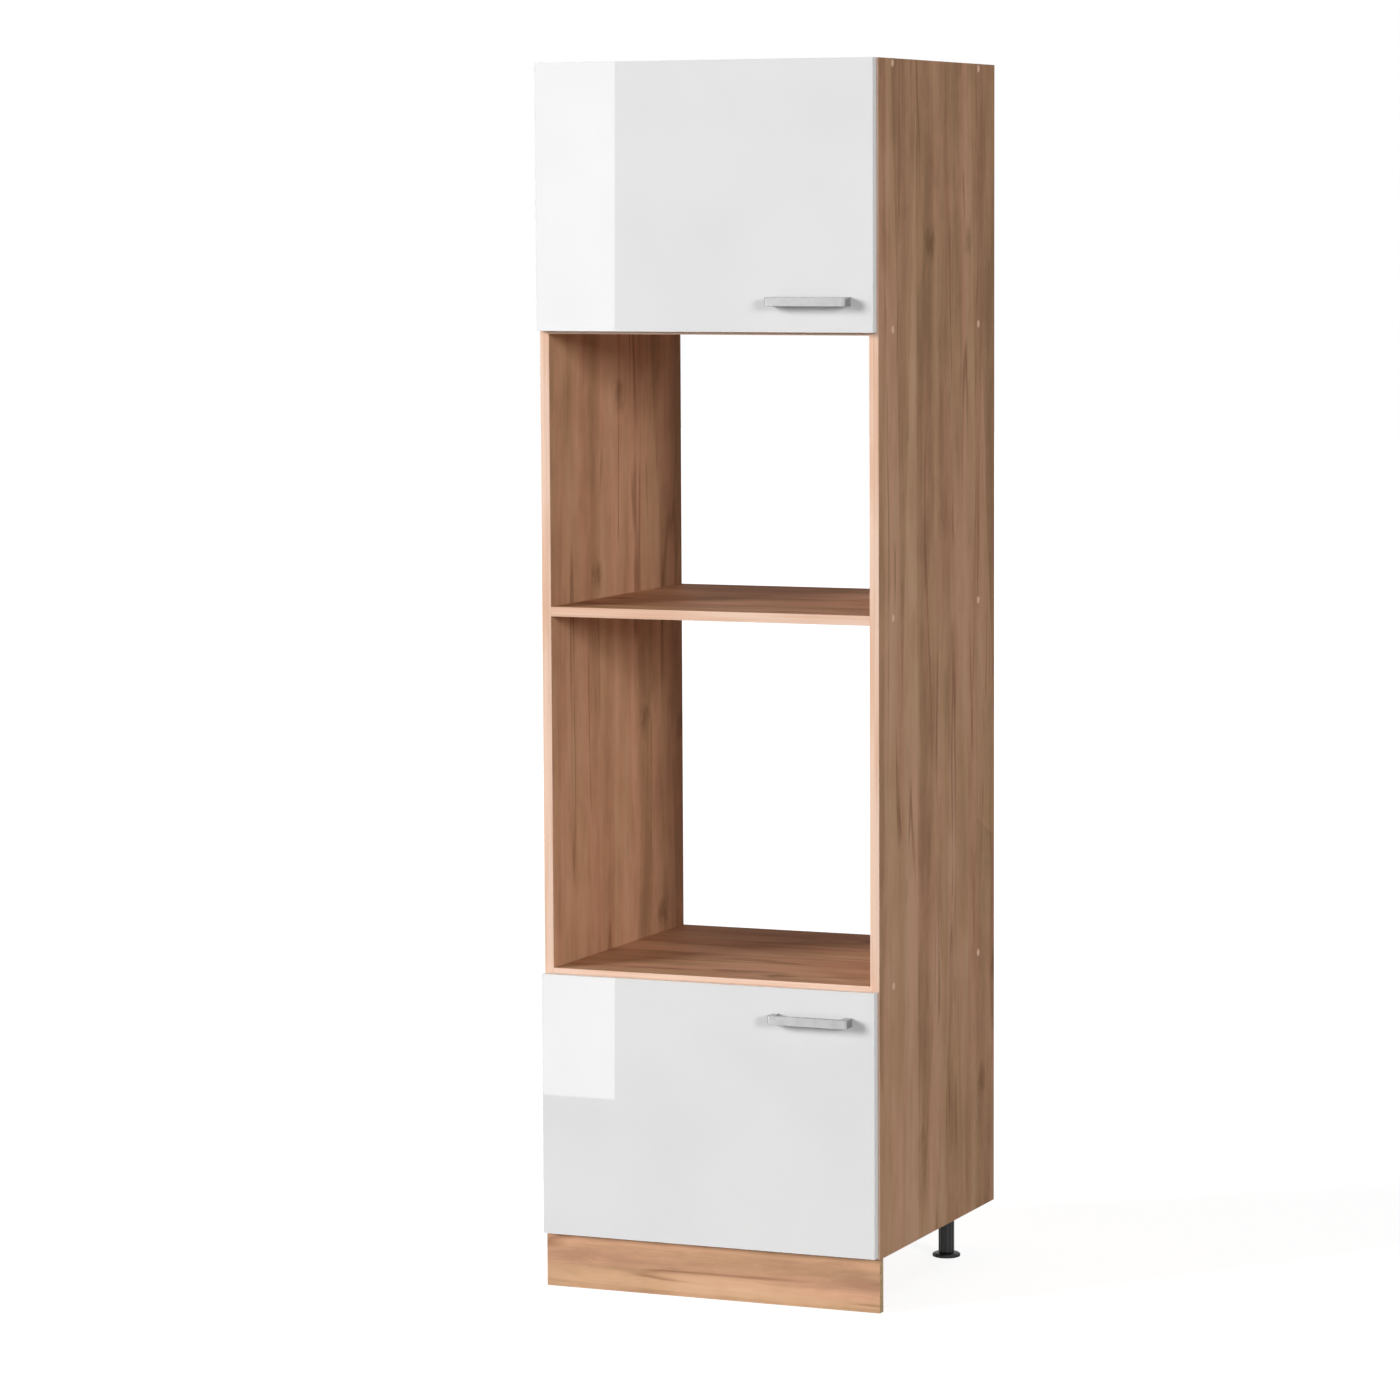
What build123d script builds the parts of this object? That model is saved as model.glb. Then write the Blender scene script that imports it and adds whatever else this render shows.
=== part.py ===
from build123d import *
import math
import os

# Tall kitchen housing unit for a built-in oven and a microwave, in millimetres, +Z up.
# The origin is the middle of the whole unit's footprint, on the floor. The fronts face -Y.

# Carcass
WIDTH = 600.0
HEIGHT = 2046.0
DEPTH = 550.0
BOARD = 16.0
BAND = 1.0
FLOOR_GAP = 90.0
LOWER_SHELF_TOP = 542.0
OVEN_NICHE = 590.0
MICROWAVE_NICHE = 453.0

# Back panels stand in grooves
BACK_THICK = 3.0
GROOVE_WIDE = 3.2
GROOVE_DEEP = 8.0
BACK_INSET = 10.0
BACK_PLAY = 0.5

# Doors and their handles
DOOR_WIDE = 596.0
DOOR_HIGH = 440.0
DOOR_THICK = 16.0
DOOR_GAP = 2.0
LOWER_DOOR_LIFT = 3.5
HANDLE_LONG = 140.0
HANDLE_HIGH = 15.0
HANDLE_REACH = 28.0
HANDLE_BAR = 8.0
HANDLE_POST = 12.0
HANDLE_SIDE_INSET = 38.5
HANDLE_EDGE_INSET = 50.0
HANDLE_ROUND = 4.0
HANDLE_GAP_ROUND = 3.0
HANDLE_EASE = 0.6
HANDLE_THREAD = 10.0
HANDLE_HOLE_RADIUS = 2.5
HANDLE_SCREW_RADIUS = 2.0
HANDLE_SCREW_HEAD = 4.0
HANDLE_SCREW_HIGH = 2.2
BUMPER_RADIUS = 4.0
BUMPER_THICK = 1.5
BUMPER_INSET = 40.0

# Cup hinges. Places in a hinge's plane run from the left side's inner face and the carcass front.
HINGE_INSET = 85.0
OUTER_ARM_PIN = (25.0, 15.7)
OUTER_CUP_PIN = (-3.6, -3.5)
INNER_ARM_PIN = (25.0, 1.3)
INNER_CUP_PIN = (0.3, -5.5)
OUTER_KNEE = (0.1, -2.8)
INNER_EYE = (-1.1, -4.9)
PIVOT_PIN = 1.2
PIVOT_BORE = 1.25
LINK_HALF_WIDE = 1.1
EYE_RADIUS = 2.2
WIDE_EYE_BORE = 3.1
WIDE_EYE_RADIUS = 4.0
OUTER_LAYER = (4.4, 5.6)
INNER_LAYER = 4.0
ARM_LAYER = (6.0, 7.4)
CUP_RADIUS = 17.5
CUP_DEEP = 11.5
CUP_WALL = 0.9
CUP_FLANGE = 0.8
CUP_FLANGE_RADIUS = 19.0
CUP_EDGE_GAP = 5.0
CUP_PIN_REACH = 8.0
STUB_GAP = 0.2
LUG_LOW = 6.0
LUG_HIGH = 9.0
LUG_HALF_WIDE = 2.0
EAR_X = 9.5
EAR_Z = 24.0
EAR_RADIUS = 5.5
CUP_SCREW_RADIUS = 1.75
CUP_SCREW_DEEP = 11.0
CUP_HEAD_RADIUS = 3.5
CUP_HEAD_HIGH = 0.6
ARM_HALF_WIDE = 2.4
ARM_BODY_Y = 26.0
ARM_END_Y = 62.0
ARM_LOW_X = 2.2
ARM_TOP_X = 27.4
ARM_ROUND = 3.0
ARM_WEB = 1.4
PLATE_SCREW_Y = 37.0
PLATE_SCREW_Z = 16.0
PLATE_SCREW_RADIUS = 2.5
PLATE_SCREW_DEEP = 11.0
PLATE_HEAD_RADIUS = 4.5
PLATE_HEAD_HIGH = 1.2
PLATE_BASE = 2.0
PLATE_WING = 24.0
PLATE_HALF_DEEP = 9.0
PLATE_CORNER = 3.0
RAIL_HIGH = 9.0
RAIL_HALF = 5.6
RAIL_HALF_LONG = 14.0
CLAMP_RADIUS = 2.4
CLAMP_HEAD_RADIUS = 4.0
CLAMP_HEAD_HIGH = 1.6

# Board joints
CONFIRMAT_FRONT = 65.0
CONFIRMAT_REAR = 470.0
CONFIRMAT_RADIUS = 3.5
CONFIRMAT_LONG = 50.0
CONFIRMAT_HEAD_RADIUS = 5.0
CONFIRMAT_HEAD_DEEP = 3.0
SOCKET_HEX = 2.5
HEX_DEEP = 2.5
CAP_RADIUS = 6.2
CAP_PROUD = 0.8
CAP_STEM_RADIUS = 1.9
CAP_STEM_LONG = 2.0
DOWEL_RADIUS = 4.0
DOWEL_IN_SIDE = 10.0
DOWEL_IN_BOARD = 20.0
DOWEL_FRONT = 110.0
DOWEL_REAR = 425.0
CAM_RADIUS = 7.5
CAM_DEEP = 12.5
CAM_INSET = 34.0
CAM_FRONT = 140.0
CAM_REAR = 395.0
CAM_HOLLOW = 5.3
CAM_FLOOR = 3.5
CAM_SLIT_HALF = 1.8
CAM_MOUTH_HALF = 3.3
CAM_BOLT_RADIUS = 3.5
CAM_BOLT_GAP = 0.5
CAM_NECK_RADIUS = 1.5
CAM_HEAD_RADIUS = 3.0
CAM_HEAD_LONG = 2.4
CAM_SHOULDER = 4.2
CAM_THREAD_RADIUS = 2.5
CAM_THREAD_LONG = 10.0
SLOT_LONG = 8.0
SLOT_WIDE = 1.6
SLOT_DEEP = 2.0

# Loose shelves stand on pins in rows of holes
SHELF_SHORT = 4.0
SHELF_FRONT = 30.0
SHELF_REAR = 525.0
PIN_RADIUS = 2.5
PIN_HOLE_DEEP = 10.0
PIN_REACH = 8.0
PIN_FRONT = 69.0
PIN_REAR = 485.0
PIN_PITCH = 32.0
PIN_COLLAR = 1.0
PIN_COLLAR_RADIUS = 4.0

# Legs
LEG_X = 240.0
LEG_FRONT = 60.0
LEG_REAR = 475.0
PLATE_WIDE = 60.0
PLATE_THICK = 4.0
SOCKET_RADIUS = 18.5
SOCKET_DEEP = 16.0
COLLAR_RADIUS = 15.0
TUBE_RADIUS = 13.5
STEM_RADIUS = 10.0
RUN_CLEARANCE = 0.05
FOOT_RADIUS = 24.0
FOOT_THICK = 7.0
FOOT_GAP = 0.5
STEM_TOP = 58.0
BORE_TOP = 62.0
PLATE_ROUND = 8.0
PLATE_SCREW_EDGE = 8.0
GUSSET_HIGH = 10.0
GUSSET_THICK = 2.4
GUSSET_END = 3.0
FLUTES = 12
FLUTE_RADIUS = 1.6
FLUTE_SINK = 0.7
FLUTE_MARGIN = 3.0
FOOT_EASE = 1.6

# Small wood screws
WOOD_SCREW_RADIUS = 2.0
WOOD_SCREW_DEEP = 12.0
SCREW_HEAD_RADIUS = 3.5
SCREW_HEAD_HIGH = 2.0

# Plinth and the clips that hold it to the front legs
PLINTH_LIFT = 1.0
PLINTH_DROP = 1.0
CLIP_Z = 45.0
CLIP_HIGH = 20.0
CLIP_WIDE = 36.0
CLIP_BASE = 3.0
CLIP_ARM = 8.0
CLIP_RING_RADIUS = 16.5
CLIP_MOUTH = 22.0
CLIP_SCREW_X = 12.0
CLIP_SCREW_DEEP = 10.0

# Wall brackets
BRACKET_X = 200.0
BRACKET_WIDE = 30.0
BRACKET_LEG = 40.0
BRACKET_THICK = 2.0
WALL_HOLE_RADIUS = 3.0
WALL_HOLE_PLAY = 1.0
WALL_HOLE_DROP = 24.0

# Levels and planes worked out from the sizes above
FRONT = (DOOR_GAP + DOOR_THICK + HANDLE_REACH - DEPTH) / 2
REAR = FRONT + DEPTH
DOOR_BACK = FRONT - DOOR_GAP
DOOR_FACE = DOOR_BACK - DOOR_THICK
INNER_X = WIDTH / 2 - BOARD
BOTTOM_Z = FLOOR_GAP
LOWER_SHELF_Z = LOWER_SHELF_TOP - BOARD
MID_SHELF_Z = LOWER_SHELF_TOP + OVEN_NICHE
UPPER_SHELF_Z = MID_SHELF_Z + BOARD + MICROWAVE_NICHE
TOP_Z = HEIGHT - BOARD
FIXED_BOARDS = {
    "bottom_panel": BOTTOM_Z,
    "lower_fixed_shelf": LOWER_SHELF_Z,
    "middle_fixed_shelf": MID_SHELF_Z,
    "upper_fixed_shelf": UPPER_SHELF_Z,
    "top_panel": TOP_Z,
}
LOOSE_SHELVES = {
    "lower_loose_shelf": (BOTTOM_Z + LOWER_SHELF_Z + BOARD) / 2,
    "upper_loose_shelf": (UPPER_SHELF_Z + TOP_Z + BOARD) / 2,
}
COMPARTMENTS = {
    "lower": (BOTTOM_Z + BOARD, LOWER_SHELF_Z),
    "upper": (UPPER_SHELF_Z + BOARD, TOP_Z),
}
DOORS = {
    "lower": BOTTOM_Z + LOWER_DOOR_LIFT,
    "upper": HEIGHT - DOOR_HIGH,
}
CUP_X = CUP_EDGE_GAP + CUP_RADIUS - DOOR_WIDE / 2
GROOVE_Y = REAR - BACK_INSET - GROOVE_WIDE
BACK_Y = GROOVE_Y + (GROOVE_WIDE - BACK_THICK) / 2
WALL_HOLE_Z = TOP_Z - WALL_HOLE_DROP
CONFIRMAT_SHANK = (CONFIRMAT_RADIUS, CONFIRMAT_LONG - CONFIRMAT_HEAD_DEEP)
CONFIRMAT_WAY = (CONFIRMAT_RADIUS, BOARD - CONFIRMAT_HEAD_DEEP)
WOOD_SCREW_HEAD = (SCREW_HEAD_RADIUS, SCREW_HEAD_HIGH)

AXES = {"x": Rot(0, 90, 0), "y": Rot(-90, 0, 0), "z": Rot(0, 0, 0)}


def block(x, y, z):
    """A board or bar between low and high corners."""
    spans = (x, y, z)
    middle = [(low + high) / 2 for low, high in spans]
    size = [abs(high - low) for low, high in spans]
    return Pos(*middle) * Box(*size)


def rod(axis, radius, start, long):
    """A round bar from start along x, y or z, forwards, or backwards where long is below zero."""
    end = Align.MIN if long > 0 else Align.MAX
    bar = Cylinder(radius, abs(long), align=(Align.CENTER, Align.CENTER, end))
    return Pos(*start) * AXES[axis] * bar


def side_rod(side, radius, start, long):
    """A round bar along x that runs outwards from start, on the left (-1) or right (+1) side."""
    return rod("x", radius, start, side * long)


def screw(axis, start, way, head, shank):
    """A plain screw from the top of its head along way, +1 or -1. Head and shank are (radius, length)."""
    head_radius, head_high = head
    shank_radius, shank_long = shank
    body = rod(axis, shank_radius, start, way * (head_high + shank_long))
    return rod(axis, head_radius, start, way * head_high) + body


def cut(body, tools):
    """The body with every tool taken out of it."""
    for tool in tools:
        body = body - tool
    return body


def group(solids):
    """Several separate solids that share one name."""
    return Compound(children=list(solids))


def depth_rows(front, rear):
    """The two places across the depth, measured from the front plane of the carcass."""
    return [FRONT + front, FRONT + rear]


def joined_boards():
    """The bottoms of the boards that the large screws hold, which are all but the bottom panel."""
    return [z for name, z in FIXED_BOARDS.items() if name != "bottom_panel"]


def side_panel(side):
    """A full-height side, -1 for the left one and +1 for the right one, with all its drilling."""
    inner = side * INNER_X
    outer = side * WIDTH / 2
    tools = [
        screw("x", place, -hand, (CONFIRMAT_HEAD_RADIUS, CONFIRMAT_HEAD_DEEP), CONFIRMAT_WAY)
        for hand, place in confirmat_places()
        if hand == side
    ]
    for z in FIXED_BOARDS.values():
        for y in depth_rows(DOWEL_FRONT, DOWEL_REAR):
            tools.append(side_rod(side, DOWEL_RADIUS, (inner, y, z + BOARD / 2), DOWEL_IN_SIDE))
    for y in depth_rows(CAM_FRONT, CAM_REAR):
        start = (inner, y, BOTTOM_Z + BOARD / 2)
        tools.append(side_rod(side, CAM_THREAD_RADIUS, start, CAM_THREAD_LONG))
    for underside in LOOSE_SHELVES.values():
        for y in depth_rows(PIN_FRONT, PIN_REAR):
            for row in (-1, 0, 1):
                z = underside - PIN_RADIUS + row * PIN_PITCH
                tools.append(side_rod(side, PIN_RADIUS, (inner, y, z), PIN_HOLE_DEEP))
    groove = (GROOVE_Y, GROOVE_Y + GROOVE_WIDE)
    for low, high in COMPARTMENTS.values():
        heights = (low - GROOVE_DEEP, high + GROOVE_DEEP)
        tools.append(block((inner, inner + side * GROOVE_DEEP), groove, heights))
    if side < 0:
        for z in plate_screw_heights():
            start = (inner, FRONT + PLATE_SCREW_Y, z)
            tools.append(side_rod(side, PLATE_SCREW_RADIUS, start, PLATE_SCREW_DEEP))
    return cut(block((inner, outer), (FRONT + BAND, REAR), (BOTTOM_Z, HEIGHT)), tools)


def fixed_board(name):
    """A board between the sides, drilled in its ends for the parts that hold it there."""
    z = FIXED_BOARDS[name]
    middle = z + BOARD / 2
    tools = []
    for side in (-1, 1):
        inner = side * INNER_X
        for y in depth_rows(DOWEL_FRONT, DOWEL_REAR):
            tools.append(side_rod(-side, DOWEL_RADIUS, (inner, y, middle), DOWEL_IN_BOARD))
        if name == "bottom_panel":
            for y in depth_rows(CAM_FRONT, CAM_REAR):
                cam_x = inner - side * CAM_INSET
                tools.append(side_rod(-side, CAM_BOLT_RADIUS, (inner, y, middle), CAM_INSET))
                tools.append(rod("z", CAM_RADIUS, (cam_x, y, z), CAM_DEEP))
        else:
            for y in depth_rows(CONFIRMAT_FRONT, CONFIRMAT_REAR):
                long = CONFIRMAT_LONG - BOARD
                tools.append(side_rod(-side, CONFIRMAT_RADIUS, (inner, y, middle), long))
    groove = (GROOVE_Y, GROOVE_Y + GROOVE_WIDE)
    for low, high in COMPARTMENTS.values():
        if math.isclose(low, z + BOARD):
            tools.append(block((-INNER_X, INNER_X), groove, (low - GROOVE_DEEP, low)))
        if math.isclose(high, z):
            tools.append(block((-INNER_X, INNER_X), groove, (high, high + GROOVE_DEEP)))
    if name == "bottom_panel":
        for x, y in leg_screw_places():
            tools.append(rod("z", WOOD_SCREW_RADIUS, (x, y, z), WOOD_SCREW_DEEP))
    if name == "top_panel":
        for x in (-BRACKET_X, BRACKET_X):
            place = (x, BACK_Y - WALL_HOLE_DROP, z)
            tools.append(rod("z", WOOD_SCREW_RADIUS, place, WOOD_SCREW_DEEP))
    return cut(block((-INNER_X, INNER_X), (FRONT + BAND, REAR), (z, z + BOARD)), tools)


def front_edge_bands():
    """The glued strips on the front edges of the seven carcass boards."""
    strip = (FRONT, FRONT + BAND)
    bands = []
    for side in (-1, 1):
        bands.append(block((side * INNER_X, side * WIDTH / 2), strip, (BOTTOM_Z, HEIGHT)))
    for z in FIXED_BOARDS.values():
        bands.append(block((-INNER_X, INNER_X), strip, (z, z + BOARD)))
    return group(bands)


def back_panel(name):
    """A thin back in the grooves of its compartment. The upper one lets the wall screws through."""
    low, high = COMPARTMENTS[name]
    reach = INNER_X + GROOVE_DEEP - BACK_PLAY
    heights = (low - GROOVE_DEEP + BACK_PLAY, high + GROOVE_DEEP - BACK_PLAY)
    panel = block((-reach, reach), (BACK_Y, BACK_Y + BACK_THICK), heights)
    if name == "lower":
        return panel
    radius = WALL_HOLE_RADIUS + WALL_HOLE_PLAY
    holes = [rod("y", radius, (x, BACK_Y, WALL_HOLE_Z), BACK_THICK) for x in (-BRACKET_X, BRACKET_X)]
    return cut(panel, holes)


def confirmat_places():
    """The large board screws: which side each is in, and the middle of its head's outer face."""
    return [
        (side, (side * WIDTH / 2, y, z + BOARD / 2))
        for side in (-1, 1)
        for z in joined_boards()
        for y in depth_rows(CONFIRMAT_FRONT, CONFIRMAT_REAR)
    ]


def confirmat_screws():
    """The large board screws: a head sunk in the side with a hexagon socket, and a shank."""
    screws = []
    for side, place in confirmat_places():
        whole = screw("x", place, -side, (CONFIRMAT_HEAD_RADIUS, CONFIRMAT_HEAD_DEEP), CONFIRMAT_SHANK)
        hexagon = Plane(place, z_dir=(-side, 0, 0)) * RegularPolygon(SOCKET_HEX, 6)
        screws.append(whole - extrude(hexagon, HEX_DEEP))
    return group(screws)


def cover_caps():
    """The round caps over the board screws, each with a stem in the screw's socket."""
    caps = []
    for side, place in confirmat_places():
        disc = side_rod(side, CAP_RADIUS, place, CAP_PROUD)
        stem = side_rod(-side, CAP_STEM_RADIUS, place, CAP_STEM_LONG)
        rim = disc.faces().sort_by(Axis.X)[-1 if side > 0 else 0].edges()
        caps.append(chamfer(rim, CAP_PROUD / 2) + stem)
    return group(caps)


def wooden_dowels():
    """The beech pegs that set each board's ends against the sides."""
    pegs = []
    for side in (-1, 1):
        for z in FIXED_BOARDS.values():
            for y in depth_rows(DOWEL_FRONT, DOWEL_REAR):
                start = (side * (INNER_X - DOWEL_IN_BOARD), y, z + BOARD / 2)
                pegs.append(side_rod(side, DOWEL_RADIUS, start, DOWEL_IN_BOARD + DOWEL_IN_SIDE))
    return group(pegs)


def cam_places():
    """The cams under the bottom panel: the side that each one draws to, and its middle."""
    return [
        (side, side * (INNER_X - CAM_INSET), y)
        for side in (-1, 1)
        for y in depth_rows(CAM_FRONT, CAM_REAR)
    ]


def cam_discs():
    """The turning cams: a cross slot below, and a hollow whose slit wall hooks a bolt's head."""
    discs = []
    for side, x, y in cam_places():
        axis_z = BOTTOM_Z + BOARD / 2
        top = BOTTOM_Z + CAM_DEEP
        disc = rod("z", CAM_RADIUS, (x, y, BOTTOM_Z), CAM_DEEP)
        tools = [rod("z", CAM_HOLLOW, (x, y, BOTTOM_Z + CAM_FLOOR), CAM_DEEP - CAM_FLOOR)]
        for way, half in ((side, CAM_SLIT_HALF), (-side, CAM_MOUTH_HALF)):
            tools.append(block((x, x + way * CAM_RADIUS), (y - half, y + half), (axis_z - half, top)))
        for long, wide in ((SLOT_LONG, SLOT_WIDE), (SLOT_WIDE, SLOT_LONG)):
            across = (x - long / 2, x + long / 2)
            along = (y - wide / 2, y + wide / 2)
            tools.append(block(across, along, (BOTTOM_Z, BOTTOM_Z + SLOT_DEEP)))
        discs.append(cut(disc, tools))
    return group(discs)


def cam_bolts():
    """The bolts that the cams pull on: a thread in a side, a shank, a thin neck and a head."""
    bolts = []
    shank_long = CAM_INSET - CAM_RADIUS - CAM_BOLT_GAP
    for side, x, y in cam_places():
        z = BOTTOM_Z + BOARD / 2
        start = (side * INNER_X, y, z)
        shoulder = (x + side * CAM_SHOULDER, y, z)
        thread = side_rod(side, CAM_THREAD_RADIUS, start, CAM_THREAD_LONG)
        shank = side_rod(-side, CAM_BOLT_RADIUS, start, shank_long)
        neck = side_rod(side, CAM_NECK_RADIUS, shoulder, CAM_INSET - CAM_SHOULDER - shank_long)
        head = side_rod(-side, CAM_HEAD_RADIUS, shoulder, CAM_HEAD_LONG)
        bolts.append(thread + shank + neck + head)
    return group(bolts)


def loose_shelf(name):
    """A shelf that lies on four pins."""
    z = LOOSE_SHELVES[name]
    reach = INNER_X - SHELF_SHORT / 2
    return block((-reach, reach), (FRONT + SHELF_FRONT, FRONT + SHELF_REAR), (z, z + BOARD))


def shelf_pins():
    """The pins under the loose shelves, each with a collar against the side."""
    pins = []
    for side in (-1, 1):
        for underside in LOOSE_SHELVES.values():
            for y in depth_rows(PIN_FRONT, PIN_REAR):
                start = (side * (INNER_X - PIN_REACH), y, underside - PIN_RADIUS)
                collar = (side * (INNER_X - PIN_COLLAR), y, underside - PIN_RADIUS)
                pin = side_rod(side, PIN_RADIUS, start, PIN_REACH + PIN_HOLE_DEEP)
                pins.append(pin + side_rod(side, PIN_COLLAR_RADIUS, collar, PIN_COLLAR))
    return group(pins)


def leg_places():
    """The four legs by name, as the middle of each one on the floor."""
    return {
        f"{end}_{hand}": (side * LEG_X, FRONT + depth)
        for end, depth in (("front", LEG_FRONT), ("rear", LEG_REAR))
        for hand, side in (("left", -1), ("right", 1))
    }


def leg_screw_places():
    """The sixteen screws of the leg plates."""
    reach = PLATE_WIDE / 2 - PLATE_SCREW_EDGE
    return [
        (x + dx, y + dy)
        for x, y in leg_places().values()
        for dx in (-reach, reach)
        for dy in (-reach, reach)
    ]


def wood_screw(axis, start, way, long):
    """A small screw from the top of its head along way, +1 or -1, with a shank this long."""
    return screw(axis, start, way, WOOD_SCREW_HEAD, (WOOD_SCREW_RADIUS, long))


def leg_plate(x, y):
    """One plate under the bottom panel: a socket for a leg, braced by four gussets."""
    half = PLATE_WIDE / 2
    underside = BOTTOM_Z - PLATE_THICK
    plate = block((x - half, x + half), (y - half, y + half), (underside, BOTTOM_Z))
    plate = fillet(plate.edges().filter_by(Axis.Z), PLATE_ROUND)
    plate = plate + rod("z", SOCKET_RADIUS, (x, y, underside), -SOCKET_DEEP)
    inner = COLLAR_RADIUS
    slope = [(half - GUSSET_END, 0), (SOCKET_RADIUS, -GUSSET_HIGH)]
    outline = Polyline((inner, 0), *slope, (inner, -GUSSET_HIGH), close=True)
    gusset = extrude(Plane.XZ * make_face(outline), GUSSET_THICK / 2, both=True)
    for turn in (0, 90, 180, 270):
        plate = plate + Pos(x, y, underside) * Rot(0, 0, turn) * gusset
    tools = [rod("z", COLLAR_RADIUS + RUN_CLEARANCE, (x, y, underside), -SOCKET_DEEP)]
    reach = half - PLATE_SCREW_EDGE
    for dx in (-reach, reach):
        for dy in (-reach, reach):
            tools.append(rod("z", WOOD_SCREW_RADIUS, (x + dx, y + dy, underside), PLATE_THICK))
    return cut(plate, tools)


def leg_plates():
    """The four plates that the legs plug into."""
    return group(leg_plate(x, y) for x, y in leg_places().values())


def leg_tube(x, y):
    """One fluted tube, with a collar in its plate's socket and a bore for the foot's stem."""
    top = BOTTOM_Z - PLATE_THICK - SOCKET_DEEP
    low = FOOT_THICK + FOOT_GAP
    tube = rod("z", TUBE_RADIUS, (x, y, low), top - low) + rod("z", COLLAR_RADIUS, (x, y, top), SOCKET_DEEP)
    tools = [rod("z", STEM_RADIUS + RUN_CLEARANCE, (x, y, low), BORE_TOP - low)]
    ring = TUBE_RADIUS + FLUTE_RADIUS - FLUTE_SINK
    for number in range(FLUTES):
        turn = math.tau * (number + 0.5) / FLUTES
        place = (x + ring * math.cos(turn), y + ring * math.sin(turn), low)
        tools.append(rod("z", FLUTE_RADIUS, place, top - low - FLUTE_MARGIN))
    return cut(tube, tools)


def leg_tubes():
    """The tubes of the four legs."""
    return group(leg_tube(x, y) for x, y in leg_places().values())


def foot(name):
    """A levelling foot: a round disc on the floor and the stem that turns up into the tube."""
    x, y = leg_places()[name]
    disc = rod("z", FOOT_RADIUS, (x, y, 0), FOOT_THICK)
    disc = chamfer(disc.edges().sort_by(Axis.Z)[-1], FOOT_EASE)
    return disc + rod("z", STEM_RADIUS, (x, y, FOOT_THICK), STEM_TOP - FOOT_THICK)


def leg_plate_screws():
    """The screws that hold the leg plates up against the bottom panel."""
    low = BOTTOM_Z - PLATE_THICK - SCREW_HEAD_HIGH
    long = PLATE_THICK + WOOD_SCREW_DEEP
    return group(wood_screw("z", (x, y, low), 1, long) for x, y in leg_screw_places())


def front_legs():
    """The two legs that the plinth clips grip."""
    return [place for name, place in leg_places().items() if name.startswith("front")]


def clip_screw_places():
    """The places of the plinth clips' screws across."""
    return [x + dx for x, _ in front_legs() for dx in (-CLIP_SCREW_X, CLIP_SCREW_X)]


def plinth_board():
    """The loose board that closes the space under the unit, drilled behind for its clips."""
    heights = (PLINTH_LIFT, BOTTOM_Z - PLINTH_DROP)
    rear = FRONT + BOARD
    board = block((-WIDTH / 2, WIDTH / 2), (FRONT, rear), heights)
    places = [(x, rear, CLIP_Z) for x in clip_screw_places()]
    return cut(board, [rod("y", WOOD_SCREW_RADIUS, place, -CLIP_SCREW_DEEP) for place in places])


def plinth_clips():
    """The clips on the plinth: a base, an arm and an open ring that snaps round a leg."""
    clips = []
    low = CLIP_Z - CLIP_HIGH / 2
    heights = (low, low + CLIP_HIGH)
    front = FRONT + BOARD
    rear = front + CLIP_BASE
    for x, y in front_legs():
        clip = block((x - CLIP_WIDE / 2, x + CLIP_WIDE / 2), (front, rear), heights)
        clip = clip + block((x - CLIP_ARM / 2, x + CLIP_ARM / 2), (rear, y), heights)
        clip = clip + rod("z", CLIP_RING_RADIUS, (x, y, low), CLIP_HIGH)
        hole = rod("z", TUBE_RADIUS + RUN_CLEARANCE, (x, y, low), CLIP_HIGH)
        mouth = block((x - CLIP_MOUTH / 2, x + CLIP_MOUTH / 2), (y, y + CLIP_RING_RADIUS), heights)
        clips.append(cut(clip, [hole, mouth]))
    screw_holes = [rod("y", WOOD_SCREW_RADIUS, (x, front, CLIP_Z), CLIP_BASE) for x in clip_screw_places()]
    return group(cut(clip, screw_holes) for clip in clips)


def plinth_clip_screws():
    """The screws that hold the clips to the back of the plinth."""
    y = FRONT + BOARD + CLIP_BASE + SCREW_HEAD_HIGH
    long = CLIP_BASE + CLIP_SCREW_DEEP
    return group(wood_screw("y", (x, y, CLIP_Z), -1, long) for x in clip_screw_places())


def wall_brackets():
    """The two steel angles inside the top compartment that tie the unit to a wall."""
    brackets = []
    for x in (-BRACKET_X, BRACKET_X):
        wide = (x - BRACKET_WIDE / 2, x + BRACKET_WIDE / 2)
        upright = block(wide, (BACK_Y - BRACKET_THICK, BACK_Y), (TOP_Z - BRACKET_LEG, TOP_Z))
        flat = block(wide, (BACK_Y - BRACKET_LEG, BACK_Y), (TOP_Z - BRACKET_THICK, TOP_Z))
        corner = (upright + flat).edges().filter_by(Axis.X).sort_by_distance((x, BACK_Y, TOP_Z))[0]
        angle = fillet(corner, BRACKET_THICK)
        wall_hole = rod("y", WALL_HOLE_RADIUS, (x, BACK_Y, WALL_HOLE_Z), -BRACKET_THICK)
        screw_hole = rod("z", WOOD_SCREW_RADIUS, (x, BACK_Y - WALL_HOLE_DROP, TOP_Z), -BRACKET_THICK)
        brackets.append(cut(angle, [wall_hole, screw_hole]))
    return group(brackets)


def wall_bracket_screws():
    """The screws that hold the wall brackets up under the top panel."""
    low = TOP_Z - BRACKET_THICK - SCREW_HEAD_HIGH
    y = BACK_Y - WALL_HOLE_DROP
    long = BRACKET_THICK + WOOD_SCREW_DEEP
    return group(wood_screw("z", (x, y, low), 1, long) for x in (-BRACKET_X, BRACKET_X))


def door_z(name):
    """The bottom and top of a door."""
    return DOORS[name], DOORS[name] + DOOR_HIGH


def door_hinge_heights(name):
    """The heights of the two hinges of a door."""
    low, high = door_z(name)
    return [low + HINGE_INSET, high - HINGE_INSET]


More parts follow.
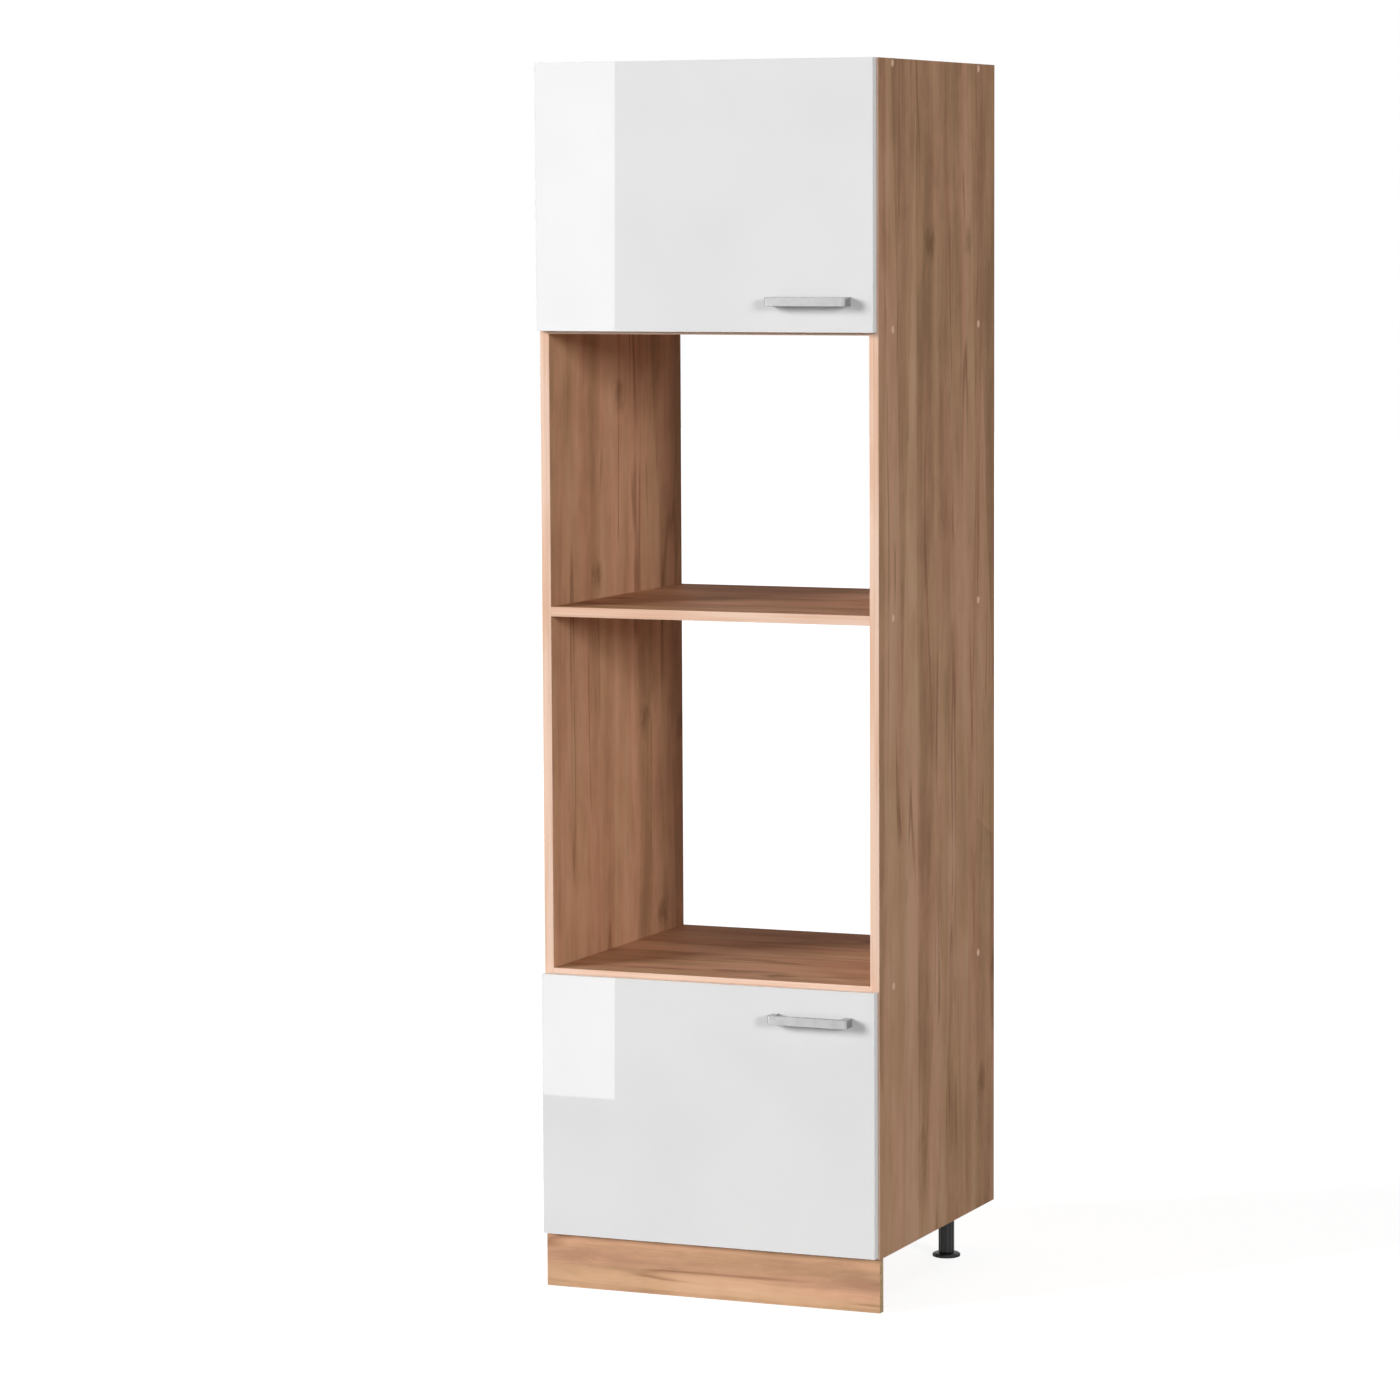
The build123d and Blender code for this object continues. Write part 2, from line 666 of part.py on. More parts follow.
def hinge_heights():
    """The heights of all four hinges."""
    return [z for name in DOORS for z in door_hinge_heights(name)]


def handle_place(name):
    """The middle of a handle across and up: near the edge of its door that is nearest the hands."""
    low, high = door_z(name)
    x = DOOR_WIDE / 2 - HANDLE_SIDE_INSET - HANDLE_LONG / 2
    z = high - HANDLE_EDGE_INSET if name == "lower" else low + HANDLE_EDGE_INSET
    return x, z


def handle_posts(name):
    """The places of the two posts of a handle across."""
    x = handle_place(name)[0]
    reach = (HANDLE_LONG - HANDLE_POST) / 2
    return [x - reach, x + reach]


def door_panel(name):
    """The door inside its edge band, bored behind for two hinge cups and through for the handle."""
    low, high = door_z(name)
    wide = DOOR_WIDE / 2 - BAND
    panel = block((-wide, wide), (DOOR_FACE, DOOR_BACK), (low + BAND, high - BAND))
    tools = []
    for z in door_hinge_heights(name):
        tools.append(rod("y", CUP_RADIUS, (CUP_X, DOOR_BACK - CUP_DEEP, z), CUP_DEEP))
        for ear in (-EAR_Z, EAR_Z):
            place = (CUP_X + EAR_X, DOOR_BACK - CUP_SCREW_DEEP, z + ear)
            tools.append(rod("y", CUP_SCREW_RADIUS, place, CUP_SCREW_DEEP))
    handle_z = handle_place(name)[1]
    for x in handle_posts(name):
        tools.append(rod("y", HANDLE_HOLE_RADIUS, (x, DOOR_FACE, handle_z), DOOR_THICK))
    return cut(panel, tools)


def door_edge_band(name):
    """The band glued round the four edges of a door."""
    low, high = door_z(name)
    wide = DOOR_WIDE / 2
    outside = block((-wide, wide), (DOOR_FACE, DOOR_BACK), (low, high))
    inside = block((BAND - wide, wide - BAND), (DOOR_FACE, DOOR_BACK), (low + BAND, high - BAND))
    return outside - inside


def door_handle(name):
    """A bow handle: a flat bar on two posts, rounded at its corners and drilled for its screws."""
    x, z = handle_place(name)
    outside = Pos(x, DOOR_FACE - HANDLE_REACH / 2) * Rectangle(HANDLE_LONG, HANDLE_REACH)
    front_corners = outside.vertices().group_by(Axis.Y)[0]
    outside = fillet(front_corners, HANDLE_ROUND)
    gap_deep = HANDLE_REACH - HANDLE_BAR
    gap = Pos(x, DOOR_FACE - gap_deep / 2) * Rectangle(HANDLE_LONG - 2 * HANDLE_POST, gap_deep)
    gap = fillet(gap.vertices().group_by(Axis.Y)[0], HANDLE_GAP_ROUND)
    bow = Pos(0, 0, z - HANDLE_HIGH / 2) * extrude(outside - gap, HANDLE_HIGH)
    front_edges = bow.edges().group_by(Axis.Y)[0]
    bow = chamfer(front_edges.filter_by(Axis.X), HANDLE_EASE)
    holes = [
        rod("y", HANDLE_SCREW_RADIUS, (post, DOOR_FACE - HANDLE_THREAD, z), HANDLE_THREAD)
        for post in handle_posts(name)
    ]
    return cut(bow, holes)


def door_handle_screws(name):
    """The two machine screws that hold a handle from behind its door."""
    z = handle_place(name)[1]
    head = (HANDLE_SCREW_HEAD, HANDLE_SCREW_HIGH)
    shank = (HANDLE_SCREW_RADIUS, DOOR_THICK + HANDLE_THREAD)
    start_y = DOOR_BACK + HANDLE_SCREW_HIGH
    return group(screw("y", (x, start_y, z), -1, head, shank) for x in handle_posts(name))


def door_bumpers(name):
    """The two soft dots that a closing door meets the right side with."""
    low, high = door_z(name)
    x = INNER_X + BOARD / 2
    heights = (low + BUMPER_INSET, high - BUMPER_INSET)
    return group(rod("y", BUMPER_RADIUS, (x, DOOR_BACK, z), BUMPER_THICK) for z in heights)


def at_hinge(x, y):
    """A place in the hinge's own plane, from the left side's inner face and the carcass front."""
    return x - INNER_X, y + FRONT


def bar_shape(start, end, half_wide):
    """A round-ended strip in the plane of the hinge, from start to end."""
    (x1, y1), (x2, y2) = at_hinge(*start), at_hinge(*end)
    turn = math.degrees(math.atan2(y2 - y1, x2 - x1))
    strip = SlotCenterToCenter(math.hypot(x2 - x1, y2 - y1), 2 * half_wide)
    return Pos((x1 + x2) / 2, (y1 + y2) / 2) * Rot(0, 0, turn) * strip


def disc_shape(centre, radius):
    """A round shape in the plane of the hinge."""
    return Pos(*at_hinge(*centre)) * Circle(radius)


def layer(shape, z, low, high):
    """A flat shape made solid between two heights above z."""
    return Pos(0, 0, z + low) * extrude(shape, high - low)


def mirrored_layers(shape, z, span):
    """The same flat piece above and below the middle of a hinge."""
    low, high = span
    return [layer(shape, z, low, high), layer(shape, z, -high, -low)]


def link_shape(points, eyes, bores):
    """A stamped link: a bent strip through its points with a round eye and a bore at each end."""
    shape = bar_shape(points[0], points[1], LINK_HALF_WIDE)
    for start, end in zip(points[1:], points[2:]):
        shape = shape + bar_shape(start, end, LINK_HALF_WIDE)
    for centre, radius in eyes:
        shape = shape + disc_shape(centre, radius)
    for centre, radius in bores:
        shape = shape - disc_shape(centre, radius)
    return shape


def outer_links(name):
    """The outer link of each hinge of a door: two bent cheeks between the arm and the cup."""
    shape = link_shape(
        [OUTER_ARM_PIN, OUTER_KNEE, OUTER_CUP_PIN],
        [(OUTER_ARM_PIN, EYE_RADIUS), (OUTER_CUP_PIN, EYE_RADIUS)],
        [(OUTER_ARM_PIN, PIVOT_BORE), (OUTER_CUP_PIN, PIVOT_BORE)],
    )
    return group(part for z in door_hinge_heights(name) for part in mirrored_layers(shape, z, OUTER_LAYER))


def inner_links(name):
    """The inner link of each hinge of a door: one thick link with a wide eye round the cup's pin."""
    shape = link_shape(
        [INNER_ARM_PIN, INNER_EYE],
        [(INNER_ARM_PIN, EYE_RADIUS), (INNER_EYE, WIDE_EYE_RADIUS)],
        [(INNER_ARM_PIN, PIVOT_BORE), (INNER_EYE, WIDE_EYE_BORE)],
    )
    return group(layer(shape, z, -INNER_LAYER, INNER_LAYER) for z in door_hinge_heights(name))


def hinge_cup(z):
    """One cup: a bowl with a screwed flange, and lugs inside it for the two pins."""
    floor = DOOR_BACK - CUP_DEEP
    bowl = rod("y", CUP_RADIUS, (CUP_X, floor, z), CUP_DEEP)
    flange = rod("y", CUP_FLANGE_RADIUS, (CUP_X, DOOR_BACK, z), CUP_FLANGE)
    ear_x = CUP_X + EAR_X
    ear_wide = (ear_x - EAR_RADIUS, ear_x + EAR_RADIUS)
    flange = flange + block(ear_wide, (DOOR_BACK, DOOR_BACK + CUP_FLANGE), (z - EAR_Z, z + EAR_Z))
    for ear in (-EAR_Z, EAR_Z):
        flange = flange + rod("y", EAR_RADIUS, (ear_x, DOOR_BACK, z + ear), CUP_FLANGE)
    hollow_radius = CUP_RADIUS - CUP_WALL
    hollow_deep = CUP_DEEP - CUP_WALL + CUP_FLANGE
    cup = bowl + flange - rod("y", hollow_radius, (CUP_X, floor + CUP_WALL, z), hollow_deep)
    tools = []
    for place in (OUTER_CUP_PIN, INNER_CUP_PIN):
        x, y = at_hinge(*place)
        for low, high in ((LUG_LOW, LUG_HIGH), (-LUG_HIGH, -LUG_LOW)):
            wide = (x - LUG_HALF_WIDE, x + LUG_HALF_WIDE)
            lug = block(wide, (floor, y + LUG_HALF_WIDE), (z + low, z + high))
            cup = cup + (lug & bowl)
        tools.append(rod("z", PIVOT_PIN, (x, y, z - CUP_PIN_REACH), 2 * CUP_PIN_REACH))
    for ear in (-EAR_Z, EAR_Z):
        tools.append(rod("y", CUP_SCREW_RADIUS, (ear_x, DOOR_BACK, z + ear), CUP_FLANGE))
    return cut(cup, tools)


def hinge_cups(name):
    """The two cups in the back of a door."""
    return group(hinge_cup(z) for z in door_hinge_heights(name))


def cup_pins(name):
    """The pins in the cups of a door: two stubs for the outer link's cheeks, and one right across."""
    pins = []
    for z in door_hinge_heights(name):
        x, y = at_hinge(*INNER_CUP_PIN)
        pins.append(rod("z", PIVOT_PIN, (x, y, z - CUP_PIN_REACH), 2 * CUP_PIN_REACH))
        stub = disc_shape(OUTER_CUP_PIN, PIVOT_PIN)
        pins.extend(mirrored_layers(stub, z, (INNER_LAYER + STUB_GAP, CUP_PIN_REACH)))
    return group(pins)


def cup_screws(name):
    """The screws that hold the cups' ears against the back of a door."""
    x = CUP_X + EAR_X
    y = DOOR_BACK + CUP_FLANGE + CUP_HEAD_HIGH
    head = (CUP_HEAD_RADIUS, CUP_HEAD_HIGH)
    shank = (CUP_SCREW_RADIUS, CUP_FLANGE + CUP_SCREW_DEEP)
    heights = [z + ear for z in door_hinge_heights(name) for ear in (-EAR_Z, EAR_Z)]
    return group(screw("y", (x, y, z), -1, head, shank) for z in heights)


def hinge_arm(z):
    """One arm: two cheeks that carry the fixed pins, joined by a web and set over the plate's rail."""
    cheek = bar_shape(INNER_ARM_PIN, OUTER_ARM_PIN, ARM_HALF_WIDE)
    cheek = cheek + bar_shape(OUTER_ARM_PIN, (ARM_TOP_X - ARM_HALF_WIDE, ARM_BODY_Y), ARM_HALF_WIDE)
    body_low = at_hinge(ARM_LOW_X, ARM_BODY_Y)
    body_high = at_hinge(ARM_TOP_X, ARM_END_Y)
    body_size = (body_high[0] - body_low[0], body_high[1] - body_low[1])
    body_middle = ((body_low[0] + body_high[0]) / 2, (body_low[1] + body_high[1]) / 2)
    body = Pos(*body_middle) * Rectangle(*body_size)
    body = fillet(body.vertices().group_by(Axis.Y)[-1], ARM_ROUND)
    cheek = cheek + body
    for place in (OUTER_ARM_PIN, INNER_ARM_PIN):
        cheek = cheek - disc_shape(place, PIVOT_PIN)
    low, high = mirrored_layers(cheek, z, ARM_LAYER)
    top = body_high[0]
    web_y = (body_low[1], body_high[1] - ARM_ROUND)
    web = block((top - ARM_WEB, top), web_y, (z - ARM_LAYER[0], z + ARM_LAYER[0]))
    arm = low + web + high
    screw_y = at_hinge(0, PLATE_SCREW_Y)[1]
    return arm - rod("x", CLAMP_RADIUS, (top - ARM_WEB, screw_y, z), ARM_WEB)


def hinge_arms():
    """The arms of all four hinges."""
    return group(hinge_arm(z) for z in hinge_heights())


def arm_pins():
    """The pins across the arms that the links turn on."""
    pins = []
    for z in hinge_heights():
        for place in (OUTER_ARM_PIN, INNER_ARM_PIN):
            x, y = at_hinge(*place)
            pins.append(rod("z", PIVOT_PIN, (x, y, z - ARM_LAYER[1]), 2 * ARM_LAYER[1]))
    return group(pins)


def plate_screw_heights():
    """The heights of the mounting plates' screws, two to a hinge."""
    return [z + dz for z in hinge_heights() for dz in (-PLATE_SCREW_Z, PLATE_SCREW_Z)]


def hinge_mounting_plates():
    """The plates screwed to the left side, each with a rail that an arm sits over."""
    plates = []
    x, y = at_hinge(0, PLATE_SCREW_Y)
    depth = (y - PLATE_HALF_DEEP, y + PLATE_HALF_DEEP)
    rail_depth = (y - RAIL_HALF_LONG, y + RAIL_HALF_LONG)
    screw_holes = [rod("x", PLATE_SCREW_RADIUS, (x, y, z), PLATE_BASE) for z in plate_screw_heights()]
    for z in hinge_heights():
        base = block((x, x + PLATE_BASE), depth, (z - PLATE_WING, z + PLATE_WING))
        base = fillet(base.edges().filter_by(Axis.X), PLATE_CORNER)
        rail = block((x + PLATE_BASE, x + RAIL_HIGH), rail_depth, (z - RAIL_HALF, z + RAIL_HALF))
        rail = rail - rod("x", CLAMP_RADIUS, (x + PLATE_BASE, y, z), RAIL_HIGH - PLATE_BASE)
        plates.append(cut(base + rail, screw_holes))
    return group(plates)


def mounting_plate_screws():
    """The two thick screws of each mounting plate, in the left side."""
    x, y = at_hinge(PLATE_BASE + PLATE_HEAD_HIGH, PLATE_SCREW_Y)
    head = (PLATE_HEAD_RADIUS, PLATE_HEAD_HIGH)
    shank = (PLATE_SCREW_RADIUS, PLATE_BASE + PLATE_SCREW_DEEP)
    return group(screw("x", (x, y, z), -1, head, shank) for z in plate_screw_heights())


def arm_clamp_screws():
    """The screw that clamps each arm down on its plate's rail."""
    x, y = at_hinge(ARM_TOP_X + CLAMP_HEAD_HIGH, PLATE_SCREW_Y)
    head = (CLAMP_HEAD_RADIUS, CLAMP_HEAD_HIGH)
    shank = (CLAMP_RADIUS, ARM_TOP_X - PLATE_BASE)
    return group(screw("x", (x, y, z), -1, head, shank) for z in hinge_heights())


PARTS = {
    "left_side_panel": side_panel(-1),
    "right_side_panel": side_panel(1),
    "front_edge_bands": front_edge_bands(),
    "lower_back_panel": back_panel("lower"),
    "upper_back_panel": back_panel("upper"),
    "lower_loose_shelf": loose_shelf("lower_loose_shelf"),
    "upper_loose_shelf": loose_shelf("upper_loose_shelf"),
    "shelf_pins": shelf_pins(),
    "confirmat_screws": confirmat_screws(),
    "cover_caps": cover_caps(),
    "wooden_dowels": wooden_dowels(),
    "cam_discs": cam_discs(),
    "cam_bolts": cam_bolts(),
    "leg_plates": leg_plates(),
    "leg_plate_screws": leg_plate_screws(),
    "leg_tubes": leg_tubes(),
    "plinth_board": plinth_board(),
    "plinth_clips": plinth_clips(),
    "plinth_clip_screws": plinth_clip_screws(),
    "wall_brackets": wall_brackets(),
    "wall_bracket_screws": wall_bracket_screws(),
    "hinge_arms": hinge_arms(),
    "arm_pins": arm_pins(),
    "arm_clamp_screws": arm_clamp_screws(),
    "hinge_mounting_plates": hinge_mounting_plates(),
    "mounting_plate_screws": mounting_plate_screws(),
}
for board in FIXED_BOARDS:
    PARTS[board] = fixed_board(board)
for leg in leg_places():
    PARTS[f"foot_{leg}"] = foot(leg)
for door in DOORS:
    PARTS[f"{door}_door"] = door_panel(door)
    PARTS[f"{door}_door_edge_band"] = door_edge_band(door)
    PARTS[f"{door}_door_handle"] = door_handle(door)
    PARTS[f"{door}_handle_screws"] = door_handle_screws(door)
    PARTS[f"{door}_door_bumpers"] = door_bumpers(door)
    PARTS[f"{door}_hinge_cups"] = hinge_cups(door)
    PARTS[f"{door}_cup_pins"] = cup_pins(door)
    PARTS[f"{door}_cup_screws"] = cup_screws(door)
    PARTS[f"{door}_outer_links"] = outer_links(door)
    PARTS[f"{door}_inner_links"] = inner_links(door)

os.makedirs("parts", exist_ok=True)
for part_name, solid in PARTS.items():
    export_step(solid, f"parts/{part_name}.step")
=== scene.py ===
import logging
import math
from dataclasses import dataclass, field
from enum import Enum
from typing import Any, Callable, Iterable

import bmesh
import bpy
from mathutils import Matrix, Vector


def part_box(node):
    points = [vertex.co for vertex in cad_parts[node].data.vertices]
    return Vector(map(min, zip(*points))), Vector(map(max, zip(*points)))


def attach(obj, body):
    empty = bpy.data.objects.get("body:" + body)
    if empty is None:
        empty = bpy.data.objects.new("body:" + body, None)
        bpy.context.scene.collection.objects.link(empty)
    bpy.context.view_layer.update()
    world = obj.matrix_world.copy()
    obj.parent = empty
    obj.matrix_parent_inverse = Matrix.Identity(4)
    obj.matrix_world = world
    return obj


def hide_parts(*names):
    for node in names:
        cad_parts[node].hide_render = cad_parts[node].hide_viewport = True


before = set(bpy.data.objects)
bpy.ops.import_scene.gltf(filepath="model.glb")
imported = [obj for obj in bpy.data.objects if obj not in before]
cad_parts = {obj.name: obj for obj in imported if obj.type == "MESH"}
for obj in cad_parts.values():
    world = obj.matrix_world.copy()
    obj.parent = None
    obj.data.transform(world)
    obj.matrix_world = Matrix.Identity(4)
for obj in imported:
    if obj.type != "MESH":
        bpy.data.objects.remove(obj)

# The looks of a tall kitchen housing unit for a built-in oven and a microwave, in metres.
# Sizes are written in millimetres and turned to metres by mm().

LOG = logging.getLogger("housing_unit")
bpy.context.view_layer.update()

# How far a face's normal points along an axis where the face is square on to it, and where an eased
# edge still counts as part of it.
SQUARE_ON = 0.9
SLANT = 0.5

Point = tuple[float, float, float]
Look = tuple[dict[str, Any], Any]


def mm(value: float) -> float:
    """Returns a length in millimetres as metres."""
    return value / 1000.0


def linear(colour: str) -> tuple[float, float, float, float]:
    """Turns an sRGB hex colour into Blender's linear colour.

    Args:
        colour: six hex digits, with or without a leading mark.

    Returns:
        Red, green, blue and a full alpha, all linear.
    """
    digits = colour.lstrip("#")
    channels = [int(digits[i:i + 2], 16) / 255.0 for i in (0, 2, 4)]
    red, green, blue = (c / 12.92 if c <= 0.04045 else ((c + 0.055) / 1.055) ** 2.4 for c in channels)
    return red, green, blue, 1.0


def add_node(tree: bpy.types.NodeTree, kind: str, links: dict | None = None,
             **settings: Any) -> bpy.types.Node:
    """Adds one node with its settings and links.

    Args:
        tree: the tree that the node goes into.
        kind: Blender's name for the kind of node.
        links: for each input, by name or number, a value, a socket, a node whose first output is
            taken, or a list of these for an input that takes several.
        settings: the node's own options, and stops for a colour ramp.

    Returns:
        The new node.
    """
    made = tree.nodes.new(kind)
    stops = settings.pop("stops", None)
    for name, value in settings.items():
        setattr(made, name, value)
    if stops is not None:
        ramp = made.color_ramp
        while len(ramp.elements) < len(stops):
            ramp.elements.new(0.5)
        for element, (place, colour) in zip(ramp.elements, stops):
            element.position = place
            element.color = linear(colour)
    for name, value in (links or {}).items():
        socket = made.inputs[name]
        for one in value if isinstance(value, list) else [value]:
            if isinstance(one, bpy.types.Node):
                one = one.outputs[0]
            if isinstance(one, bpy.types.NodeSocket):
                tree.links.new(one, socket)
            else:
                socket.default_value = one
    return made


def empty_tree(owner: bpy.types.Material | bpy.types.World) -> bpy.types.NodeTree:
    """Gives a material or a world an empty node tree.

    Args:
        owner: the material or the world.

    Returns:
        Its node tree.
    """
    owner.use_nodes = True
    owner.node_tree.nodes.clear()
    return owner.node_tree


class Grain(Enum):
    """The way that a board's grain runs, as the turn that lays the pattern's own Z along it."""

    UP = (0.0, 0.0, 0.0)
    ACROSS = (0.0, math.pi / 2, 0.0)
    INTO = (math.pi / 2, 0.0, 0.0)


class Turn(Enum):
    """A direction that a fastener's head or a cap's dome faces."""

    LEFT = (-1.0, 0.0, 0.0)
    RIGHT = (1.0, 0.0, 0.0)
    BACK = (0.0, 1.0, 0.0)
    DOWN = (0.0, 0.0, -1.0)
    UP = (0.0, 0.0, 1.0)


@dataclass(frozen=True)
class Speck:
    """The size of a pattern's specks in millimetres: across the grain, and along it."""

    wide: float
    long: float

    def scale(self) -> Point:
        """Returns the scale that gives a pattern of one metre this size, long along its own Z."""
        return 1 / mm(self.wide), 1 / mm(self.wide), 1 / mm(self.long)


@dataclass(frozen=True)
class Finish:
    """What every finish has: a name, and a relief with its depth in millimetres and its share shown.

    The sizes of its patterns are in millimetres too. Of two roughnesses, the first is where the pattern
    is low and the second where it is high.
    """

    name: str
    relief_deep: float = 0.03
    relief_show: float = 0.4

    def build(self) -> bpy.types.Material:
        """Makes the material, whose patterns read Object coordinates.

        Returns:
            The material.
        """
        material = bpy.data.materials.new(self.name)
        tree = empty_tree(material)
        place = add_node(tree, "ShaderNodeTexCoord").outputs["Object"]
        inputs, height = self.look(tree, place)
        relief = add_node(tree, "ShaderNodeBump", {"Height": height, "Distance": mm(self.relief_deep),
                                                   "Strength": self.relief_show})
        shader = add_node(tree, "ShaderNodeBsdfPrincipled", {**inputs, "Normal": relief})
        add_node(tree, "ShaderNodeOutputMaterial", {"Surface": shader})
        return material

    def look(self, tree: bpy.types.NodeTree, place: Any) -> Look:
        """Adds the nodes of the finish's pattern, which each finish has of its own.

        Args:
            tree: the material's node tree.
            place: the socket of its Object coordinates.

        Returns:
            The surface shader's inputs by name, and the node or socket of the relief's height.
        """
        raise NotImplementedError(self.name)

    def grain_noise(self, tree: bpy.types.NodeTree, place: Any, speck: Speck,
                    **noise: Any) -> bpy.types.Node:
        """Adds a noise drawn out along the pattern's own Z.

        Args:
            tree: the material's node tree.
            place: the socket or node that gives the pattern's coordinates.
            speck: the size of its specks.
            noise: more inputs of the noise, such as Detail.

        Returns:
            The noise node.
        """
        drawn = add_node(tree, "ShaderNodeMapping", {"Vector": place, "Scale": speck.scale()})
        return add_node(tree, "ShaderNodeTexNoise", {"Vector": drawn, "Scale": 1.0, **noise})


@dataclass(frozen=True)
class OakDecor(Finish):
    """Rustic oak decor: printed paper with a matt lacquer, pressed on chipboard.

    It gives the eye wide soft staves of pale and darker wood, fine fibres and pores along the grain,
    and here and there a dark vein or a small ragged knot.
    """

    relief_deep: float = 0.05
    relief_show: float = 0.35
    grain: Grain = Grain.UP
    shift: Point = (0.0, 0.0, 0.0)
    pale: str = "#DDB294"
    body: str = "#CB9E7F"
    dark: str = "#A98165"
    red_tint: str = "#FFFAFA"
    olive_tint: str = "#FAFEF7"
    vein_colour: str = "#865B42"
    knot_colour: str = "#73543A"
    roughness: tuple[float, float] = (0.50, 0.62)
    sway: Speck = Speck(120.0, 240.0)
    sway_reach: float = 34.0
    stave: Speck = Speck(82.0, 2100.0)
    blotch: Speck = Speck(75.0, 150.0)
    flame: Speck = Speck(34.0, 420.0)
    fibre: Speck = Speck(6.0, 210.0)
    pore: Speck = Speck(1.3, 45.0)
    hue: Speck = Speck(42.0, 520.0)
    vein: Speck = Speck(70.0, 1150.0)
    vein_patch: Speck = Speck(60.0, 190.0)
    vein_half: float = 0.022
    vein_show: float = 0.62
    tear: Speck = Speck(26.0, 34.0)
    tear_reach: float = 44.0
    knot: Speck = Speck(145.0, 246.5)
    knot_slant: float = 0.5
    knot_core: float = 0.02
    knot_rim: float = 0.20
    knot_show: float = 0.58
    knotless_share: float = 0.45

    def look(self, tree: bpy.types.NodeTree, place: Any) -> Look:
        """Adds the nodes of the printed oak.

        Args:
            tree: the material's node tree.
            place: the socket of its Object coordinates.

        Returns:
            The surface shader's inputs by name, and the node or socket of the relief's height.
        """
        laid = add_node(tree, "ShaderNodeMapping", {"Vector": place, "Rotation": self.grain.value,
                                                    "Location": tuple(mm(s) for s in self.shift)})
        sway = self.grain_noise(tree, laid, self.sway, Detail=3.0)
        wavy = self.pushed(tree, laid, sway, (mm(self.sway_reach), mm(self.sway_reach), 0.0))
        fibres = self.grain_noise(tree, wavy, self.fibre, Detail=4.0, Roughness=0.6)
        pores = self.grain_noise(tree, wavy, self.pore, Detail=2.0, Roughness=0.5)
        wood = add_node(tree, "ShaderNodeValToRGB", {0: self.tone(tree, laid, wavy, fibres, pores)},
                        stops=[(0.0, self.dark), (0.5, self.body), (1.0, self.pale)])
        hues = self.grain_noise(tree, laid, self.hue, Detail=2.0)
        tint = add_node(tree, "ShaderNodeValToRGB", {0: hues},
                        stops=[(0.38, self.red_tint), (0.62, self.olive_tint)])
        colour = add_node(tree, "ShaderNodeMix", {0: 1.0, 6: wood, 7: tint}, data_type="RGBA",
                          blend_type="MULTIPLY")
        for share, mark in ((self.veins(tree, laid, wavy), self.vein_colour),
                            (self.knots(tree, laid), self.knot_colour)):
            colour = add_node(tree, "ShaderNodeMix", {0: share, 6: colour.outputs[2], 7: linear(mark)},
                              data_type="RGBA")
        rough = add_node(tree, "ShaderNodeMapRange", {0: fibres, 3: self.roughness[0],
                                                      4: self.roughness[1]})
        return {"Base Color": colour.outputs[2], "Roughness": rough, "IOR": 1.46,
                "Specular IOR Level": 0.008}, pores

    def pushed(self, tree: bpy.types.NodeTree, place: Any, noise: bpy.types.Node,
               reach: Point) -> bpy.types.Node:
        """Adds the nodes that push a pattern's coordinates about by a noise.

        Args:
            tree: the material's node tree.
            place: the socket or node of the coordinates.
            noise: the noise, whose colour is the push.
            reach: the whole span of the push along each axis, in metres.

        Returns:
            The node of the pushed coordinates.
        """
        push = add_node(tree, "ShaderNodeVectorMath", {0: noise.outputs["Color"], 1: reach},
                        operation="MULTIPLY")
        return add_node(tree, "ShaderNodeVectorMath", {0: place, 1: push}, operation="ADD")

    def tone(self, tree: bpy.types.NodeTree, laid: Any, wavy: Any, fibres: Any,
             pores: Any) -> bpy.types.Node:
        """Adds the nodes of the print's light and dark: staves, blotches, flames, fibres and pores.

        Args:
            tree: the material's node tree.
            laid: the node of the coordinates along the grain.
            wavy: the node of the coordinates that wander with the fibres.
            fibres: the noise of the fibres.
            pores: the noise of the pores.

        Returns:
            A node that gives 0 where the print is darkest and 1 where it is palest.
        """
        cells = add_node(tree, "ShaderNodeMapping", {"Vector": laid, "Scale": self.stave.scale()})
        planks = add_node(tree, "ShaderNodeTexVoronoi", {"Vector": cells, "Scale": 1.0})
        plank = add_node(tree, "ShaderNodeSeparateColor", {0: planks.outputs["Color"]})
        staves = self.grain_noise(tree, laid, self.stave, Detail=1.0, Roughness=0.4)
        blotches = self.grain_noise(tree, laid, self.blotch, Detail=3.0, Roughness=0.6)
        flames = self.grain_noise(tree, wavy, self.flame, Detail=3.0, Roughness=0.55)
        level: Any = 0.5
        for source, low, high, weight in ((plank, 0.0, 1.0, 0.27), (staves, 0.38, 0.62, 0.18),
                                          (blotches, 0.35, 0.65, 0.15), (flames, 0.36, 0.64, 0.15),
                                          (fibres, 0.3, 0.7, 0.08), (pores, 0.3, 0.7, 0.05)):
            part = add_node(tree, "ShaderNodeMapRange", {0: source, 1: low, 2: high, 3: -weight, 4: weight})
            level = add_node(tree, "ShaderNodeMath", {0: part, 1: level}, operation="ADD")
        return level

